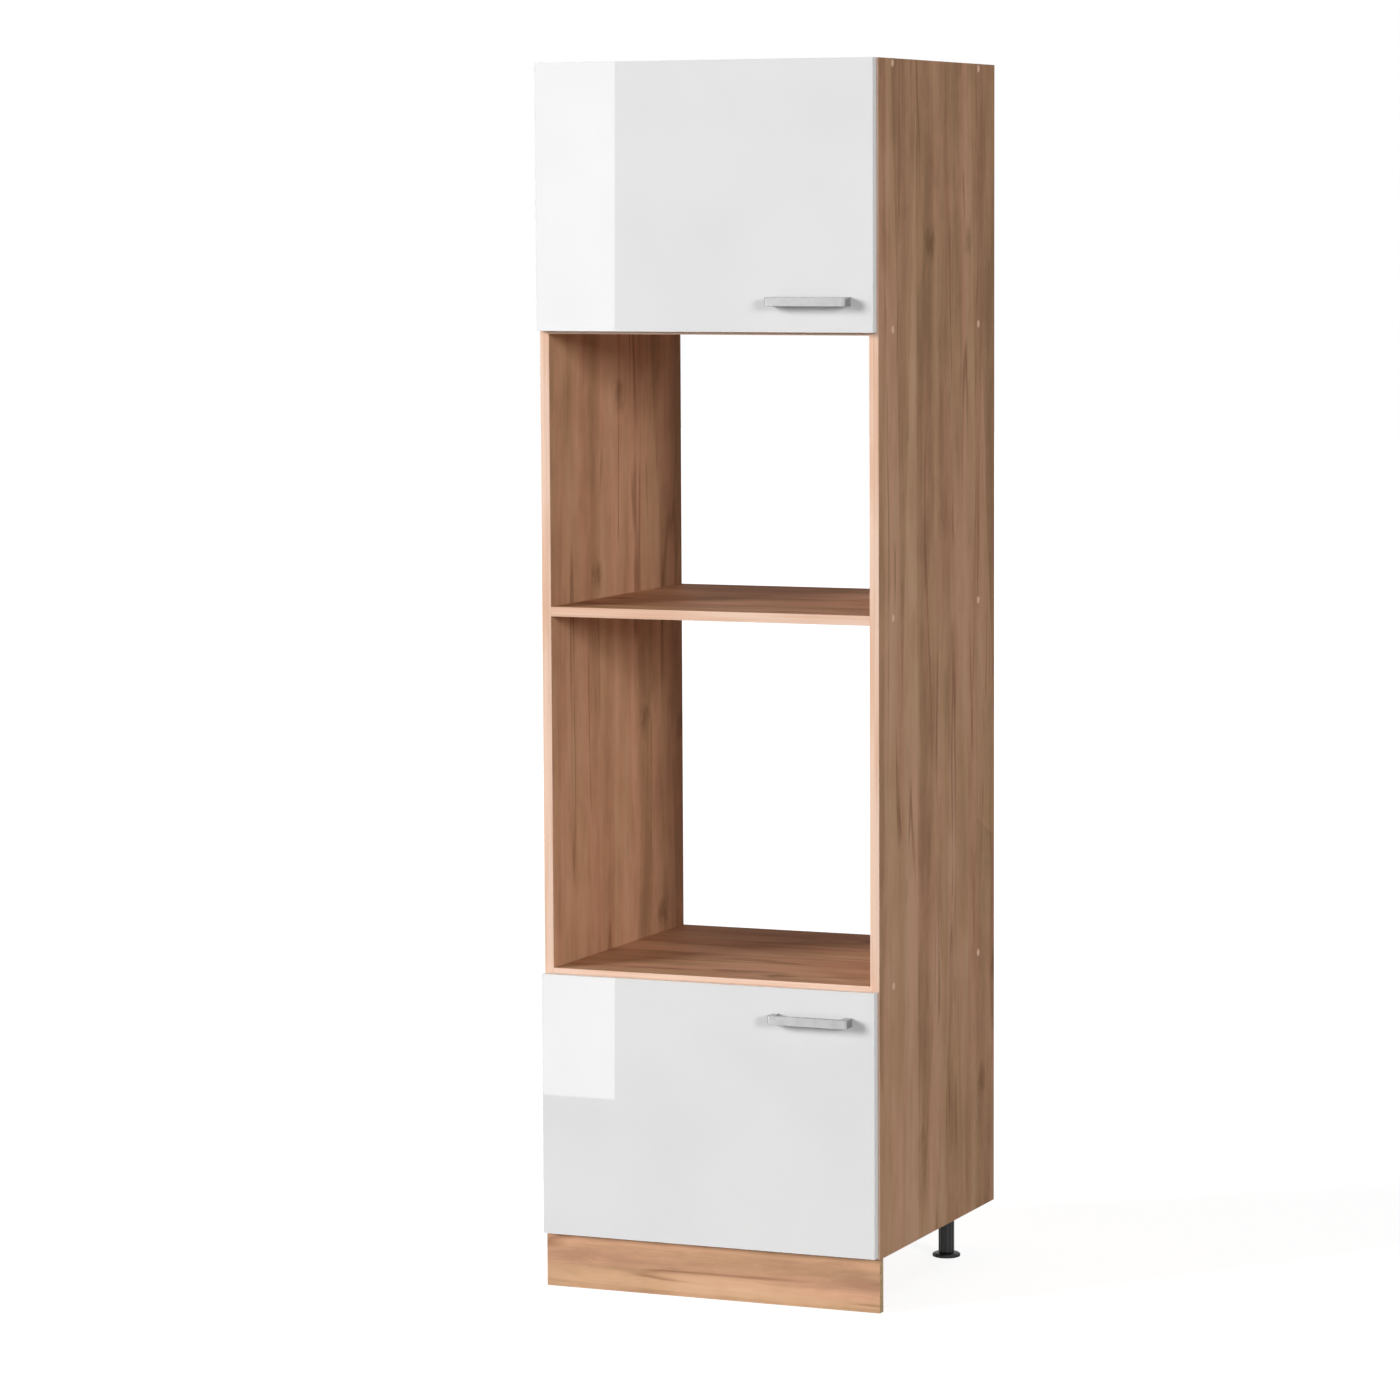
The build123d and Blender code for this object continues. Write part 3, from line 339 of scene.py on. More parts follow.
    def veins(self, tree: bpy.types.NodeTree, laid: Any, wavy: Any) -> bpy.types.Node:
        """Adds the nodes of the dark lines that run along the grain here and there.

        Args:
            tree: the material's node tree.
            laid: the node of the coordinates along the grain.
            wavy: the node of the coordinates that wander with the fibres.

        Returns:
            A node that gives how much of the dark line shows.
        """
        ridge = self.grain_noise(tree, laid, self.vein, Detail=2.0, Roughness=0.35)
        off_ridge = add_node(tree, "ShaderNodeMath", {0: ridge, 1: 0.5}, operation="SUBTRACT")
        near_ridge = add_node(tree, "ShaderNodeMath", {0: off_ridge}, operation="ABSOLUTE")
        line = add_node(tree, "ShaderNodeMapRange", {0: near_ridge, 1: 0.0, 2: self.vein_half,
                                                     3: self.vein_show, 4: 0.0})
        patches = self.grain_noise(tree, wavy, self.vein_patch, Detail=1.0)
        patch = add_node(tree, "ShaderNodeMapRange", {0: patches, 1: 0.48, 2: 0.60})
        return add_node(tree, "ShaderNodeMath", {0: line, 1: patch}, operation="MULTIPLY")

    def knots(self, tree: bpy.types.NodeTree, laid: Any) -> bpy.types.Node:
        """Adds the nodes of the small ragged knots and cracks.

        Args:
            tree: the material's node tree.
            laid: the node of the coordinates along the grain.

        Returns:
            A node that gives how much of a knot shows.
        """
        tears = self.grain_noise(tree, laid, self.tear, Detail=3.0, Roughness=0.65)
        ragged = self.pushed(tree, laid, tears, (mm(self.tear_reach),) * 3)
        slanted = add_node(tree, "ShaderNodeMapping", {"Vector": ragged,
                                                       "Rotation": (0.0, self.knot_slant, 0.0)})
        cells = add_node(tree, "ShaderNodeMapping", {"Vector": slanted, "Scale": self.knot.scale()})
        spots = add_node(tree, "ShaderNodeTexVoronoi", {"Vector": cells, "Scale": 1.0})
        core = add_node(tree, "ShaderNodeMapRange", {0: spots.outputs["Distance"], 1: self.knot_core,
                                                     2: self.knot_rim, 3: self.knot_show, 4: 0.0},
                        interpolation_type="SMOOTHSTEP")
        chance = add_node(tree, "ShaderNodeSeparateColor", {0: spots.outputs["Color"]})
        chosen = add_node(tree, "ShaderNodeMath", {0: chance, 1: self.knotless_share},
                          operation="GREATER_THAN")
        return add_node(tree, "ShaderNodeMath", {0: core, 1: chosen}, operation="MULTIPLY")


@dataclass(frozen=True)
class Chipboard(Finish):
    """Raw chipboard, sawn: pressed flakes and glue give the eye a dry speckle of tan and brown."""

    relief_deep: float = 0.3
    relief_show: float = 0.6
    pale: str = "#DFC49C"
    dark: str = "#A88459"
    flake: float = 2.2
    dust: float = 0.8

    def look(self, tree: bpy.types.NodeTree, place: Any) -> Look:
        """Adds the nodes of the flakes.

        Args:
            tree: the material's node tree.
            place: the socket of its Object coordinates.

        Returns:
            The surface shader's inputs by name, and the node or socket of the relief's height.
        """
        flakes = add_node(tree, "ShaderNodeTexVoronoi", {"Vector": place, "Scale": 1 / mm(self.flake)})
        dust = add_node(tree, "ShaderNodeTexNoise", {"Vector": place, "Scale": 1 / mm(self.dust),
                                                     "Detail": 3.0})
        shade = add_node(tree, "ShaderNodeSeparateColor", {0: flakes.outputs["Color"]})
        mixed = add_node(tree, "ShaderNodeMath", {0: shade, 1: dust}, operation="MULTIPLY")
        colour = add_node(tree, "ShaderNodeValToRGB", {0: mixed},
                          stops=[(0.0, self.dark), (0.36, self.pale)])
        return {"Base Color": colour, "Roughness": 0.9, "IOR": 1.5}, flakes.outputs["Distance"]


@dataclass(frozen=True)
class Fibreboard(Finish):
    """Fibreboard or hardboard, pressed from fibres, which give the eye a felt of short dark flecks."""

    relief_deep: float = 0.06
    relief_show: float = 0.5
    colour: str = "#A67F58"
    fleck_colour: str = "#97714E"
    roughness: float = 0.85
    fibre: float = 1.4
    cloud: float = 60.0

    def look(self, tree: bpy.types.NodeTree, place: Any) -> Look:
        """Adds the nodes of the fibres.

        Args:
            tree: the material's node tree.
            place: the socket of its Object coordinates.

        Returns:
            The surface shader's inputs by name, and the node or socket of the relief's height.
        """
        felt = add_node(tree, "ShaderNodeTexNoise", {"Vector": place, "Scale": 1 / mm(self.fibre),
                                                     "Detail": 5.0, "Roughness": 0.7, "Distortion": 1.5})
        clouds = add_node(tree, "ShaderNodeTexNoise", {"Vector": place, "Scale": 1 / mm(self.cloud),
                                                       "Detail": 2.0})
        both = add_node(tree, "ShaderNodeMath", {0: felt, 1: clouds}, operation="ADD")
        mean = add_node(tree, "ShaderNodeMath", {0: both, 1: 0.5}, operation="MULTIPLY")
        colour = add_node(tree, "ShaderNodeValToRGB", {0: mean},
                          stops=[(0.42, self.fleck_colour), (0.56, self.colour)])
        return {"Base Color": colour, "Roughness": self.roughness, "IOR": 1.5}, felt


@dataclass(frozen=True)
class EdgeBand(Finish):
    """Extruded ABS edge band with a plain print, which gives the eye a smooth pale satin strip."""

    relief_show: float = 0.3
    grain: Grain = Grain.UP
    colour: str = "#EDCCB7"
    line_colour: str = "#E0B69B"
    line: Speck = Speck(3.0, 420.0)
    patch: Speck = Speck(22.0, 240.0)

    def look(self, tree: bpy.types.NodeTree, place: Any) -> Look:
        """Adds the nodes of the faint lines along the band.

        Args:
            tree: the material's node tree.
            place: the socket of its Object coordinates.

        Returns:
            The surface shader's inputs by name, and the node or socket of the relief's height.
        """
        laid = add_node(tree, "ShaderNodeMapping", {"Vector": place, "Rotation": self.grain.value})
        lines = self.grain_noise(tree, laid, self.line, Detail=3.0, Roughness=0.6)
        patches = self.grain_noise(tree, laid, self.patch, Detail=1.0)
        both = add_node(tree, "ShaderNodeMath", {0: lines, 1: patches}, operation="MULTIPLY")
        colour = add_node(tree, "ShaderNodeValToRGB", {0: both},
                          stops=[(0.14, self.line_colour), (0.30, self.colour)])
        return {"Base Color": colour, "Roughness": 0.42, "IOR": 1.5, "Specular IOR Level": 0.015}, lines


@dataclass(frozen=True)
class GlossLaminate(Finish):
    """Acrylic laminate, pressed: its skin gives the eye sharp, barely rippled reflections."""

    relief_deep: float = 0.002
    relief_show: float = 0.25
    colour: str = "#E1E1E1"
    tint: str = "#DEDEDF"
    roughness: tuple[float, float] = (0.0072, 0.0192)
    cloud: float = 240.0
    haze: float = 35.0
    peel: float = 12.0

    def look(self, tree: bpy.types.NodeTree, place: Any) -> Look:
        """Adds the nodes of the skin's haze and orange peel.

        Args:
            tree: the material's node tree.
            place: the socket of its Object coordinates.

        Returns:
            The surface shader's inputs by name, and the node or socket of the relief's height.
        """
        clouds = add_node(tree, "ShaderNodeTexNoise", {"Vector": place, "Scale": 1 / mm(self.cloud),
                                                       "Detail": 2.0})
        colour = add_node(tree, "ShaderNodeValToRGB", {0: clouds},
                          stops=[(0.4, self.tint), (0.6, self.colour)])
        haze = add_node(tree, "ShaderNodeTexNoise", {"Vector": place, "Scale": 1 / mm(self.haze),
                                                     "Detail": 4.0})
        rough = add_node(tree, "ShaderNodeMapRange", {0: haze, 3: self.roughness[0], 4: self.roughness[1]})
        peel = add_node(tree, "ShaderNodeTexNoise", {"Vector": place, "Scale": 1 / mm(self.peel),
                                                     "Detail": 1.0})
        return {"Base Color": colour, "Roughness": rough, "IOR": 1.49}, peel


@dataclass(frozen=True)
class BrushedMetal(Finish):
    """Metal with fine lines one way, anodised aluminium or rolled and plated steel.

    The lines give the eye a soft sheen drawn out across them. Real ones are hundredths of a millimetre
    wide, too fine to show, so they are drawn some ten times as wide.
    """

    relief_deep: float = 0.01
    colour: str = "#B8B8B8"
    shade: str = "#A9A9A9"
    roughness: tuple[float, float] = (0.375, 0.24)
    grain: Grain = Grain.ACROSS
    line: Speck = Speck(0.35, 60.0)
    smear: float = 14.0

    def look(self, tree: bpy.types.NodeTree, place: Any) -> Look:
        """Adds the nodes of the lines.

        Args:
            tree: the material's node tree.
            place: the socket of its Object coordinates.

        Returns:
            The surface shader's inputs by name, and the node or socket of the relief's height.
        """
        laid = add_node(tree, "ShaderNodeMapping", {"Vector": place, "Rotation": self.grain.value})
        lines = self.grain_noise(tree, laid, self.line, Detail=4.0, Roughness=0.7)
        smears = add_node(tree, "ShaderNodeTexNoise", {"Vector": place, "Scale": 1 / mm(self.smear),
                                                       "Detail": 3.0})
        both = add_node(tree, "ShaderNodeMath", {0: lines, 1: smears}, operation="MULTIPLY")
        colour = add_node(tree, "ShaderNodeValToRGB", {0: both},
                          stops=[(0.12, self.shade), (0.36, self.colour)])
        rough = add_node(tree, "ShaderNodeMapRange", {0: both, 1: 0.1, 2: 0.4, 3: self.roughness[0],
                                                      4: self.roughness[1]})
        return {"Base Color": colour, "Roughness": rough, "Metallic": 1.0}, lines


@dataclass(frozen=True)
class CastZinc(Finish):
    """Die-cast zinc alloy, whose cast skin gives the eye a dull, slightly mottled grey."""

    relief_show: float = 0.5
    colour: str = "#A4A4A6"
    shade: str = "#838387"
    roughness: tuple[float, float] = (0.42, 0.6)
    skin: float = 0.7
    blot: float = 5.0

    def look(self, tree: bpy.types.NodeTree, place: Any) -> Look:
        """Adds the nodes of the cast skin.

        Args:
            tree: the material's node tree.
            place: the socket of its Object coordinates.

        Returns:
            The surface shader's inputs by name, and the node or socket of the relief's height.
        """
        skin = add_node(tree, "ShaderNodeTexNoise", {"Vector": place, "Scale": 1 / mm(self.skin),
                                                     "Detail": 4.0})
        blots = add_node(tree, "ShaderNodeTexNoise", {"Vector": place, "Scale": 1 / mm(self.blot),
                                                      "Detail": 2.0})
        colour = add_node(tree, "ShaderNodeValToRGB", {0: blots},
                          stops=[(0.35, self.shade), (0.65, self.colour)])
        rough = add_node(tree, "ShaderNodeMapRange", {0: skin, 3: self.roughness[0], 4: self.roughness[1]})
        return {"Base Color": colour, "Roughness": rough, "Metallic": 1.0}, skin


@dataclass(frozen=True)
class MouldedPlastic(Finish):
    """Injection-moulded plastic, whose spark-eroded mould gives the eye a soft, grainy sheen.

    The real texture's pits are about a tenth of a millimetre wide, too fine to show, so they are drawn
    several times as wide.
    """

    colour: str = "#1B1B1B"
    worn: str = "#262626"
    roughness: tuple[float, float] = (0.3825, 0.54)
    texture: float = 0.6
    flow: float = 18.0
    ior: float = 1.5
    clear: float = 0.0

    def look(self, tree: bpy.types.NodeTree, place: Any) -> Look:
        """Adds the nodes of the mould's texture.

        Args:
            tree: the material's node tree.
            place: the socket of its Object coordinates.

        Returns:
            The surface shader's inputs by name, and the node or socket of the relief's height.
        """
        grit = add_node(tree, "ShaderNodeTexNoise", {"Vector": place, "Scale": 1 / mm(self.texture),
                                                     "Detail": 3.0})
        flow = add_node(tree, "ShaderNodeTexNoise", {"Vector": place, "Scale": 1 / mm(self.flow),
                                                     "Detail": 3.0})
        colour = add_node(tree, "ShaderNodeValToRGB", {0: flow},
                          stops=[(0.35, self.colour), (0.7, self.worn)])
        rough = add_node(tree, "ShaderNodeMapRange", {0: flow, 3: self.roughness[0], 4: self.roughness[1]})
        return {"Base Color": colour, "Roughness": rough, "IOR": self.ior,
                "Transmission Weight": self.clear}, grit


@dataclass(frozen=True)
class Beech(Finish):
    """Turned beech, which gives the eye pale pink-brown wood with short dark flecks along the grain."""

    relief_deep: float = 0.04
    colour: str = "#D9B48A"
    fleck_colour: str = "#A87B50"
    fleck: Speck = Speck(0.6, 5.0)

    def look(self, tree: bpy.types.NodeTree, place: Any) -> Look:
        """Adds the nodes of the flecks.

        Args:
            tree: the material's node tree.
            place: the socket of its Object coordinates.

        Returns:
            The surface shader's inputs by name, and the node or socket of the relief's height.
        """
        laid = add_node(tree, "ShaderNodeMapping", {"Vector": place, "Rotation": Grain.ACROSS.value})
        flecks = self.grain_noise(tree, laid, self.fleck, Detail=2.0)
        colour = add_node(tree, "ShaderNodeValToRGB", {0: flecks},
                          stops=[(0.34, self.fleck_colour), (0.5, self.colour)])
        return {"Base Color": colour, "Roughness": 0.6, "IOR": 1.5}, flecks


class Palette:
    """Every finish of the unit, made once and shared by the pieces that have it."""

    def __init__(self) -> None:
        """Makes the shared materials."""
        # Pressed board: flakes and felted fibres where it is sawn or raw, an even skin where lacquered.
        self.chipboard = Chipboard("sawn_chipboard").build()
        self.fibre_core = Fibreboard("sawn_fibreboard").build()
        self.back_face = Fibreboard("lacquered_hardboard", colour="#E3DFD6", fleck_colour="#DAD5CA",
                                    roughness=0.5).build()
        self.back_raw = Fibreboard("raw_hardboard", colour="#9E7753", fleck_colour="#906A48").build()
        # Extruded and printed edging: a smooth pale strip, with its faint lines along the board.
        self.band_up = EdgeBand("abs_edge_band_upright").build()
        self.band_across = EdgeBand("abs_edge_band_across", grain=Grain.ACROSS).build()
        # The door's skins: a mirror in front, a soft sheen on its buffed band, a dull pale back.
        self.gloss_front = GlossLaminate("acrylic_gloss_laminate").build()
        self.gloss_band = GlossLaminate("abs_gloss_edge_band", colour="#F0F0EF", tint="#ECECEB",
                                        roughness=(0.072, 0.192)).build()
        self.door_back = GlossLaminate("melamine_door_back", colour="#EDEDEB", tint="#E8E8E6",
                                       roughness=(0.252, 0.672)).build()
        # Brushed, rolled and plated metal: a sheen drawn out across fine lines. Cast zinc is duller.
        self.handle = BrushedMetal("anodised_aluminium").build()
        self.nickel = BrushedMetal("nickel_plated_steel", colour="#D4D1CB", shade="#BFBCB5",
                                   roughness=(0.3, 0.192), grain=Grain.INTO, line=Speck(0.5, 14.0)).build()
        self.zinc_plate = BrushedMetal("zinc_plated_steel", colour="#C8CACC", shade="#A9ABAF",
                                       line=Speck(0.8, 6.0)).build()
        self.cast_zinc = CastZinc("die_cast_zinc").build()
        # Moulded plastic: a soft grainy sheen, black on the legs, pale as the print on the caps, and
        # half clear on the dots.
        self.black_plastic = MouldedPlastic("black_moulded_polypropylene").build()
        self.cap_plastic = MouldedPlastic("pale_oak_moulded_plastic", colour="#E9BE9F", worn="#E3B594",
                                          roughness=(0.425, 0.6)).build()
        self.soft_dot = MouldedPlastic("clear_soft_plastic", colour="#EEEEEC", worn="#E6E6E3",
                                       roughness=(0.2125, 0.3), ior=1.46, clear=0.6).build()
        self.beech = Beech("turned_beech").build()

    def oak(self, name: str, grain: Grain, shift: Point, painted_light_tones: dict[str, str]) -> bpy.types.Material:
        """Makes the oak decor for one board, cut from its own place in the print.

        Args:
            name: the board's name.
            grain: the way its grain runs.
            shift: its place in the print, in millimetres.
            painted_light_tones: the colours in which the board's print differs from the others; the plinth's
                are paler, painted light for the light that the door's overhang keeps off it.

        Returns:
            The board's material.
        """
        return OakDecor(f"oak_decor_{name}", grain=grain, shift=shift, **painted_light_tones).build()


def link_mesh(name: str, mesh: bpy.types.Mesh) -> bpy.types.Object:
    """Puts a mesh into the scene as an object at the origin.

    Args:
        name: the piece's name.
        mesh: its mesh.

    Returns:
        The new object.
    """
    made = bpy.data.objects.new(name, mesh)
    bpy.context.scene.collection.objects.link(made)
    return made


def bake(made: bpy.types.Object) -> bpy.types.Object:
    """Turns an object with modifiers into a plain mesh without them.

    Args:
        made: the object.

    Returns:
        The same object, with its finished mesh.
    """
    bpy.context.view_layer.update()
    seen = made.evaluated_get(bpy.context.evaluated_depsgraph_get())
    finished = bpy.data.meshes.new_from_object(seen)
    made.modifiers.clear()
    made.data = finished
    made.data.name = made.name
    return made


def smooth(made: bpy.types.Object, crease: float = 38.0) -> None:
    """Shades a piece smooth, except over its sharp edges.

    Args:
        made: the piece.
        crease: edges that turn by more than this many degrees stay sharp.
    """
    made.data.polygons.foreach_set("use_smooth", [True] * len(made.data.polygons))
    made.data.set_sharp_from_angle(angle=math.radians(crease))
    made.data.update()


def merged_copy(node: str, reach: float = 0.001, flat: float = 0.2) -> bmesh.types.BMesh:
    """Copies a CAD node's mesh, joins its loose triangles and clears the edges inside its flat faces.

    Args:
        node: the CAD node's name.
        reach: corners this near to each other, in millimetres, are one.
        flat: an edge that turns by less than this many degrees is cleared.

    Returns:
        The joined mesh.
    """
    mesh = bmesh.new()
    mesh.from_mesh(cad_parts[node].data)
    bmesh.ops.remove_doubles(mesh, verts=mesh.verts, dist=mm(reach))
    bmesh.ops.dissolve_limit(mesh, angle_limit=math.radians(flat), verts=mesh.verts, edges=mesh.edges)
    return mesh


def eased(node: str, ease: float, segments: int = 2, sharp: float = 40.0) -> bpy.types.Object:
    """Makes a piece from a CAD node with all of its sharp edges rounded, as the real one's are.

    Args:
        node: the CAD node's name.
        ease: how much each edge is taken off, in millimetres.
        segments: how many faces each rounded edge has.
        sharp: an edge that turns by more than this many degrees is rounded.

    Returns:
        The new piece, with no material yet.
    """
    joined = merged_copy(node)
    mesh = bpy.data.meshes.new(f"{node}_eased")
    joined.to_mesh(mesh)
    joined.free()
    mesh.materials.clear()
    made = link_mesh(f"{node}_eased", mesh)
    bevel = made.modifiers.new("eased_edges", "BEVEL")
    bevel.width = mm(ease)
    bevel.segments = segments
    bevel.limit_method = "ANGLE"
    bevel.angle_limit = math.radians(sharp)
    bevel.use_clamp_overlap = True
    weighted = made.modifiers.new("even_shading", "WEIGHTED_NORMAL")
    weighted.keep_sharp = True
    made.data.polygons.foreach_set("use_smooth", [True] * len(made.data.polygons))
    return bake(made)


def seat(made: bpy.types.Object, body: str, slot: str, *nodes: str) -> bpy.types.Object:
    """Sets a finished piece on its body, and hides the CAD nodes that it stands for.

    Args:
        made: the piece.
        body: the CAD body that it moves with.
        slot: the record's material slot of its finish; not used.
        nodes: the CAD nodes that it stands for.

    Returns:
        The piece.
    """
    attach(made, body)
    if nodes:
        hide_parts(*nodes)
    LOG.info("made %s on %s: %d faces", made.name, body, len(made.data.polygons))
    return made


def rounded(node: str, ease: float, finish: bpy.types.Material, body: str, slot: str,
            segments: int = 2) -> bpy.types.Object:
    """Makes a piece of one finish from a CAD node, with its edges eased, and sets it on its body.

    Args:
        node: the CAD node's name.
        ease: how much each edge is taken off, in millimetres.
        finish: the piece's material.
        body: the CAD body that it moves with.
        slot: the record's material slot of its finish.
        segments: how many faces each rounded edge has.

    Returns:
        The piece.
    """
    made = eased(node, ease, segments)
    made.data.materials.append(finish)
    return seat(made, body, slot, node)


def dress(node: str, material: bpy.types.Material) -> None:
    """Gives a CAD node that stays as it is a finer material.

    Args:
        node: the CAD node's name.
        material: its material.
    """
    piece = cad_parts[node]
    if not piece.material_slots:
        piece.data.materials.append(material)
    for place in piece.material_slots:
        place.material = material
    LOG.info("dressed %s", node)


def paint_by_side(made: bpy.types.Object, materials: list[bpy.types.Material],
                  choose: Callable[[Vector, Vector], int]) -> None:
    """Gives each face of a piece one of several materials.

    Args:
        made: the piece.
        materials: the materials, in the order that choose counts them.
        choose: takes a face's middle and its normal, and returns the number of its material.
    """
    made.data.materials.clear()
    for material in materials:
        made.data.materials.append(material)
    for face in made.data.polygons:
        face.material_index = choose(face.center, face.normal)


class GeometryTree:
    """A Geometry Nodes tree with named inputs, which ends in Realize Instances and Set Material."""

    def __init__(self, name: str, inputs: dict[str, str]) -> None:
        """Starts the tree.

        Args:
            name: the tree's name.
            inputs: each input's name and Blender's name for its kind of socket.
        """
        self.tree = bpy.data.node_groups.new(name, "GeometryNodeTree")
        face = self.tree.interface
        face.new_socket("Geometry", in_out="OUTPUT", socket_type="NodeSocketGeometry")
        face.new_socket("Geometry", in_out="INPUT", socket_type="NodeSocketGeometry")
        for label, kind in inputs.items():
            face.new_socket(label, in_out="INPUT", socket_type=kind)
        face.new_socket("Finish", in_out="INPUT", socket_type="NodeSocketMaterial")
        self.source = self.tree.nodes.new("NodeGroupInput")

    def add(self, kind: str, links: dict | None = None, **settings: Any) -> bpy.types.Node:
        """Adds one node. See add_node for the arguments."""
        return add_node(self.tree, kind, links, **settings)

    def given(self, label: str) -> bpy.types.NodeSocket:
        """Returns the socket of one of the tree's inputs."""
        return self.source.outputs[label]

    def end(self, geometry: Any) -> None:
        """Ends the tree: real geometry with the chosen material.

        Args:
            geometry: the node or socket of all that it makes.
        """
        real = self.add("GeometryNodeRealizeInstances", {"Geometry": geometry})
        painted = self.add("GeometryNodeSetMaterial", {"Geometry": real, "Material": self.given("Finish")})
        self.add("NodeGroupOutput", {"Geometry": painted})

    def run(self, name: str, mesh: bpy.types.Mesh, finish: bpy.types.Material,
            values: dict[str, Any]) -> bpy.types.Object:
        """Runs the tree on a mesh and keeps the result as a plain mesh.

        Args:
            name: the new piece's name.
            mesh: the tree's geometry, such as one point for each fastener.
            finish: the material of what it makes.
            values: each of the tree's other inputs by name.

        Returns:
            The new piece, without the modifier.
        """
        made = link_mesh(name, mesh)
        modifier = made.modifiers.new(self.tree.name, "NODES")
        modifier.node_group = self.tree
        for item in self.tree.interface.items_tree:
            if item.item_type != "SOCKET" or item.in_out != "INPUT" or item.name == "Geometry":
                continue
            modifier[item.identifier] = finish if item.name == "Finish" else values[item.name]
        bake(made)
        smooth(made)
        return made


def points(name: str, places: Iterable[Point], ways: Iterable[Turn] | Turn) -> bpy.types.Mesh:
    """Makes a mesh of bare points, each with the way that what stands on it faces.

    Args:
        name: the mesh's name.
        places: the points, in metres.
        ways: one direction for each point, or one for all.

    Returns:
        The mesh.
    """
    spots = list(places)
    facing = [ways] * len(spots) if isinstance(ways, Turn) else list(ways)
    mesh = bpy.data.meshes.new(name)
    mesh.from_pydata(spots, [], [])
    way = mesh.attributes.new("way", "FLOAT_VECTOR", "POINT")
    for item, turn in zip(way.data, facing):
        item.vector = turn.value
    return mesh


def on_points(trunk: GeometryTree, prototype: Any) -> bpy.types.Node:
    """Sets one copy of a shape on each point, turned to face the point's way.

    Args:
        trunk: the tree that this goes into.
        prototype: the node or socket of the shape, which faces +Z.

    Returns:
        The node with all of the copies.
    """
    way = trunk.add("GeometryNodeInputNamedAttribute", {"Name": "way"}, data_type="FLOAT_VECTOR")
    facing = trunk.add("FunctionNodeAlignRotationToVector", {"Vector": way.outputs["Attribute"]}, axis="Z")
    return trunk.add("GeometryNodeInstanceOnPoints", {"Points": trunk.given("Geometry"),
                                                      "Instance": prototype, "Rotation": facing})


def domed(trunk: GeometryTree, radius: Any, high: Any, around: int = 28, rings: int = 12,
          flatness: float = 4.0) -> bpy.types.Node:
    """Makes a closed low dome on a flat base, which stands on the origin and faces +Z.

    Args:
        trunk: the tree that this goes into.
        radius: the socket of the dome's radius.
        high: the socket of its height.
        around: how many faces it has round its rim.
        rings: how many rows of faces it has, half of them in its base.
        flatness: the power of the radius that its height falls off by.

    Returns:
        The node of the dome.
    """
    ball = trunk.add("GeometryNodeMeshUVSphere", {"Segments": around, "Rings": rings, "Radius": 1.0})
    spot = trunk.add("GeometryNodeInputPosition")
    axes = trunk.add("ShaderNodeSeparateXYZ", {0: spot})
    above = trunk.add("ShaderNodeMath", {0: axes.outputs["Z"], 1: 0.0}, operation="GREATER_THAN")
    inward = trunk.add("ShaderNodeVectorMath", {0: spot, 1: (1.0, 1.0, 0.0)}, operation="MULTIPLY")
    out = trunk.add("ShaderNodeVectorMath", {0: inward}, operation="LENGTH").outputs["Value"]
    fall = trunk.add("ShaderNodeMath", {0: out, 1: flatness}, operation="POWER")
    rise = trunk.add("ShaderNodeMath", {0: 1.0, 1: fall}, operation="SUBTRACT")
    lift = trunk.add("ShaderNodeMath", {0: rise, 1: above}, operation="MULTIPLY")
    tall = trunk.add("ShaderNodeMath", {0: lift, 1: high}, operation="MULTIPLY")
    east = trunk.add("ShaderNodeMath", {0: axes.outputs["X"], 1: radius}, operation="MULTIPLY")
    north = trunk.add("ShaderNodeMath", {0: axes.outputs["Y"], 1: radius}, operation="MULTIPLY")
    moved = trunk.add("ShaderNodeCombineXYZ", {"X": east, "Y": north, "Z": tall})
    return trunk.add("GeometryNodeSetPosition", {"Geometry": ball, "Position": moved})


def stem(trunk: GeometryTree, radius: Any, long: Any, around: int = 16) -> bpy.types.Node:
    """Makes a round bar that hangs from the origin down -Z.

    Args:
        trunk: the tree that this goes into.
        radius: the socket of its radius.
        long: the socket of its length.
        around: how many faces it has.

    Returns:
        The node of the bar.
    """
    bar = trunk.add("GeometryNodeMeshCylinder", {"Vertices": around, "Radius": radius, "Depth": long})
    half = trunk.add("ShaderNodeMath", {0: long, 1: -0.5}, operation="MULTIPLY")
    down = trunk.add("ShaderNodeCombineXYZ", {"Z": half})
    return trunk.add("GeometryNodeTransform", {"Geometry": bar, "Translation": down})


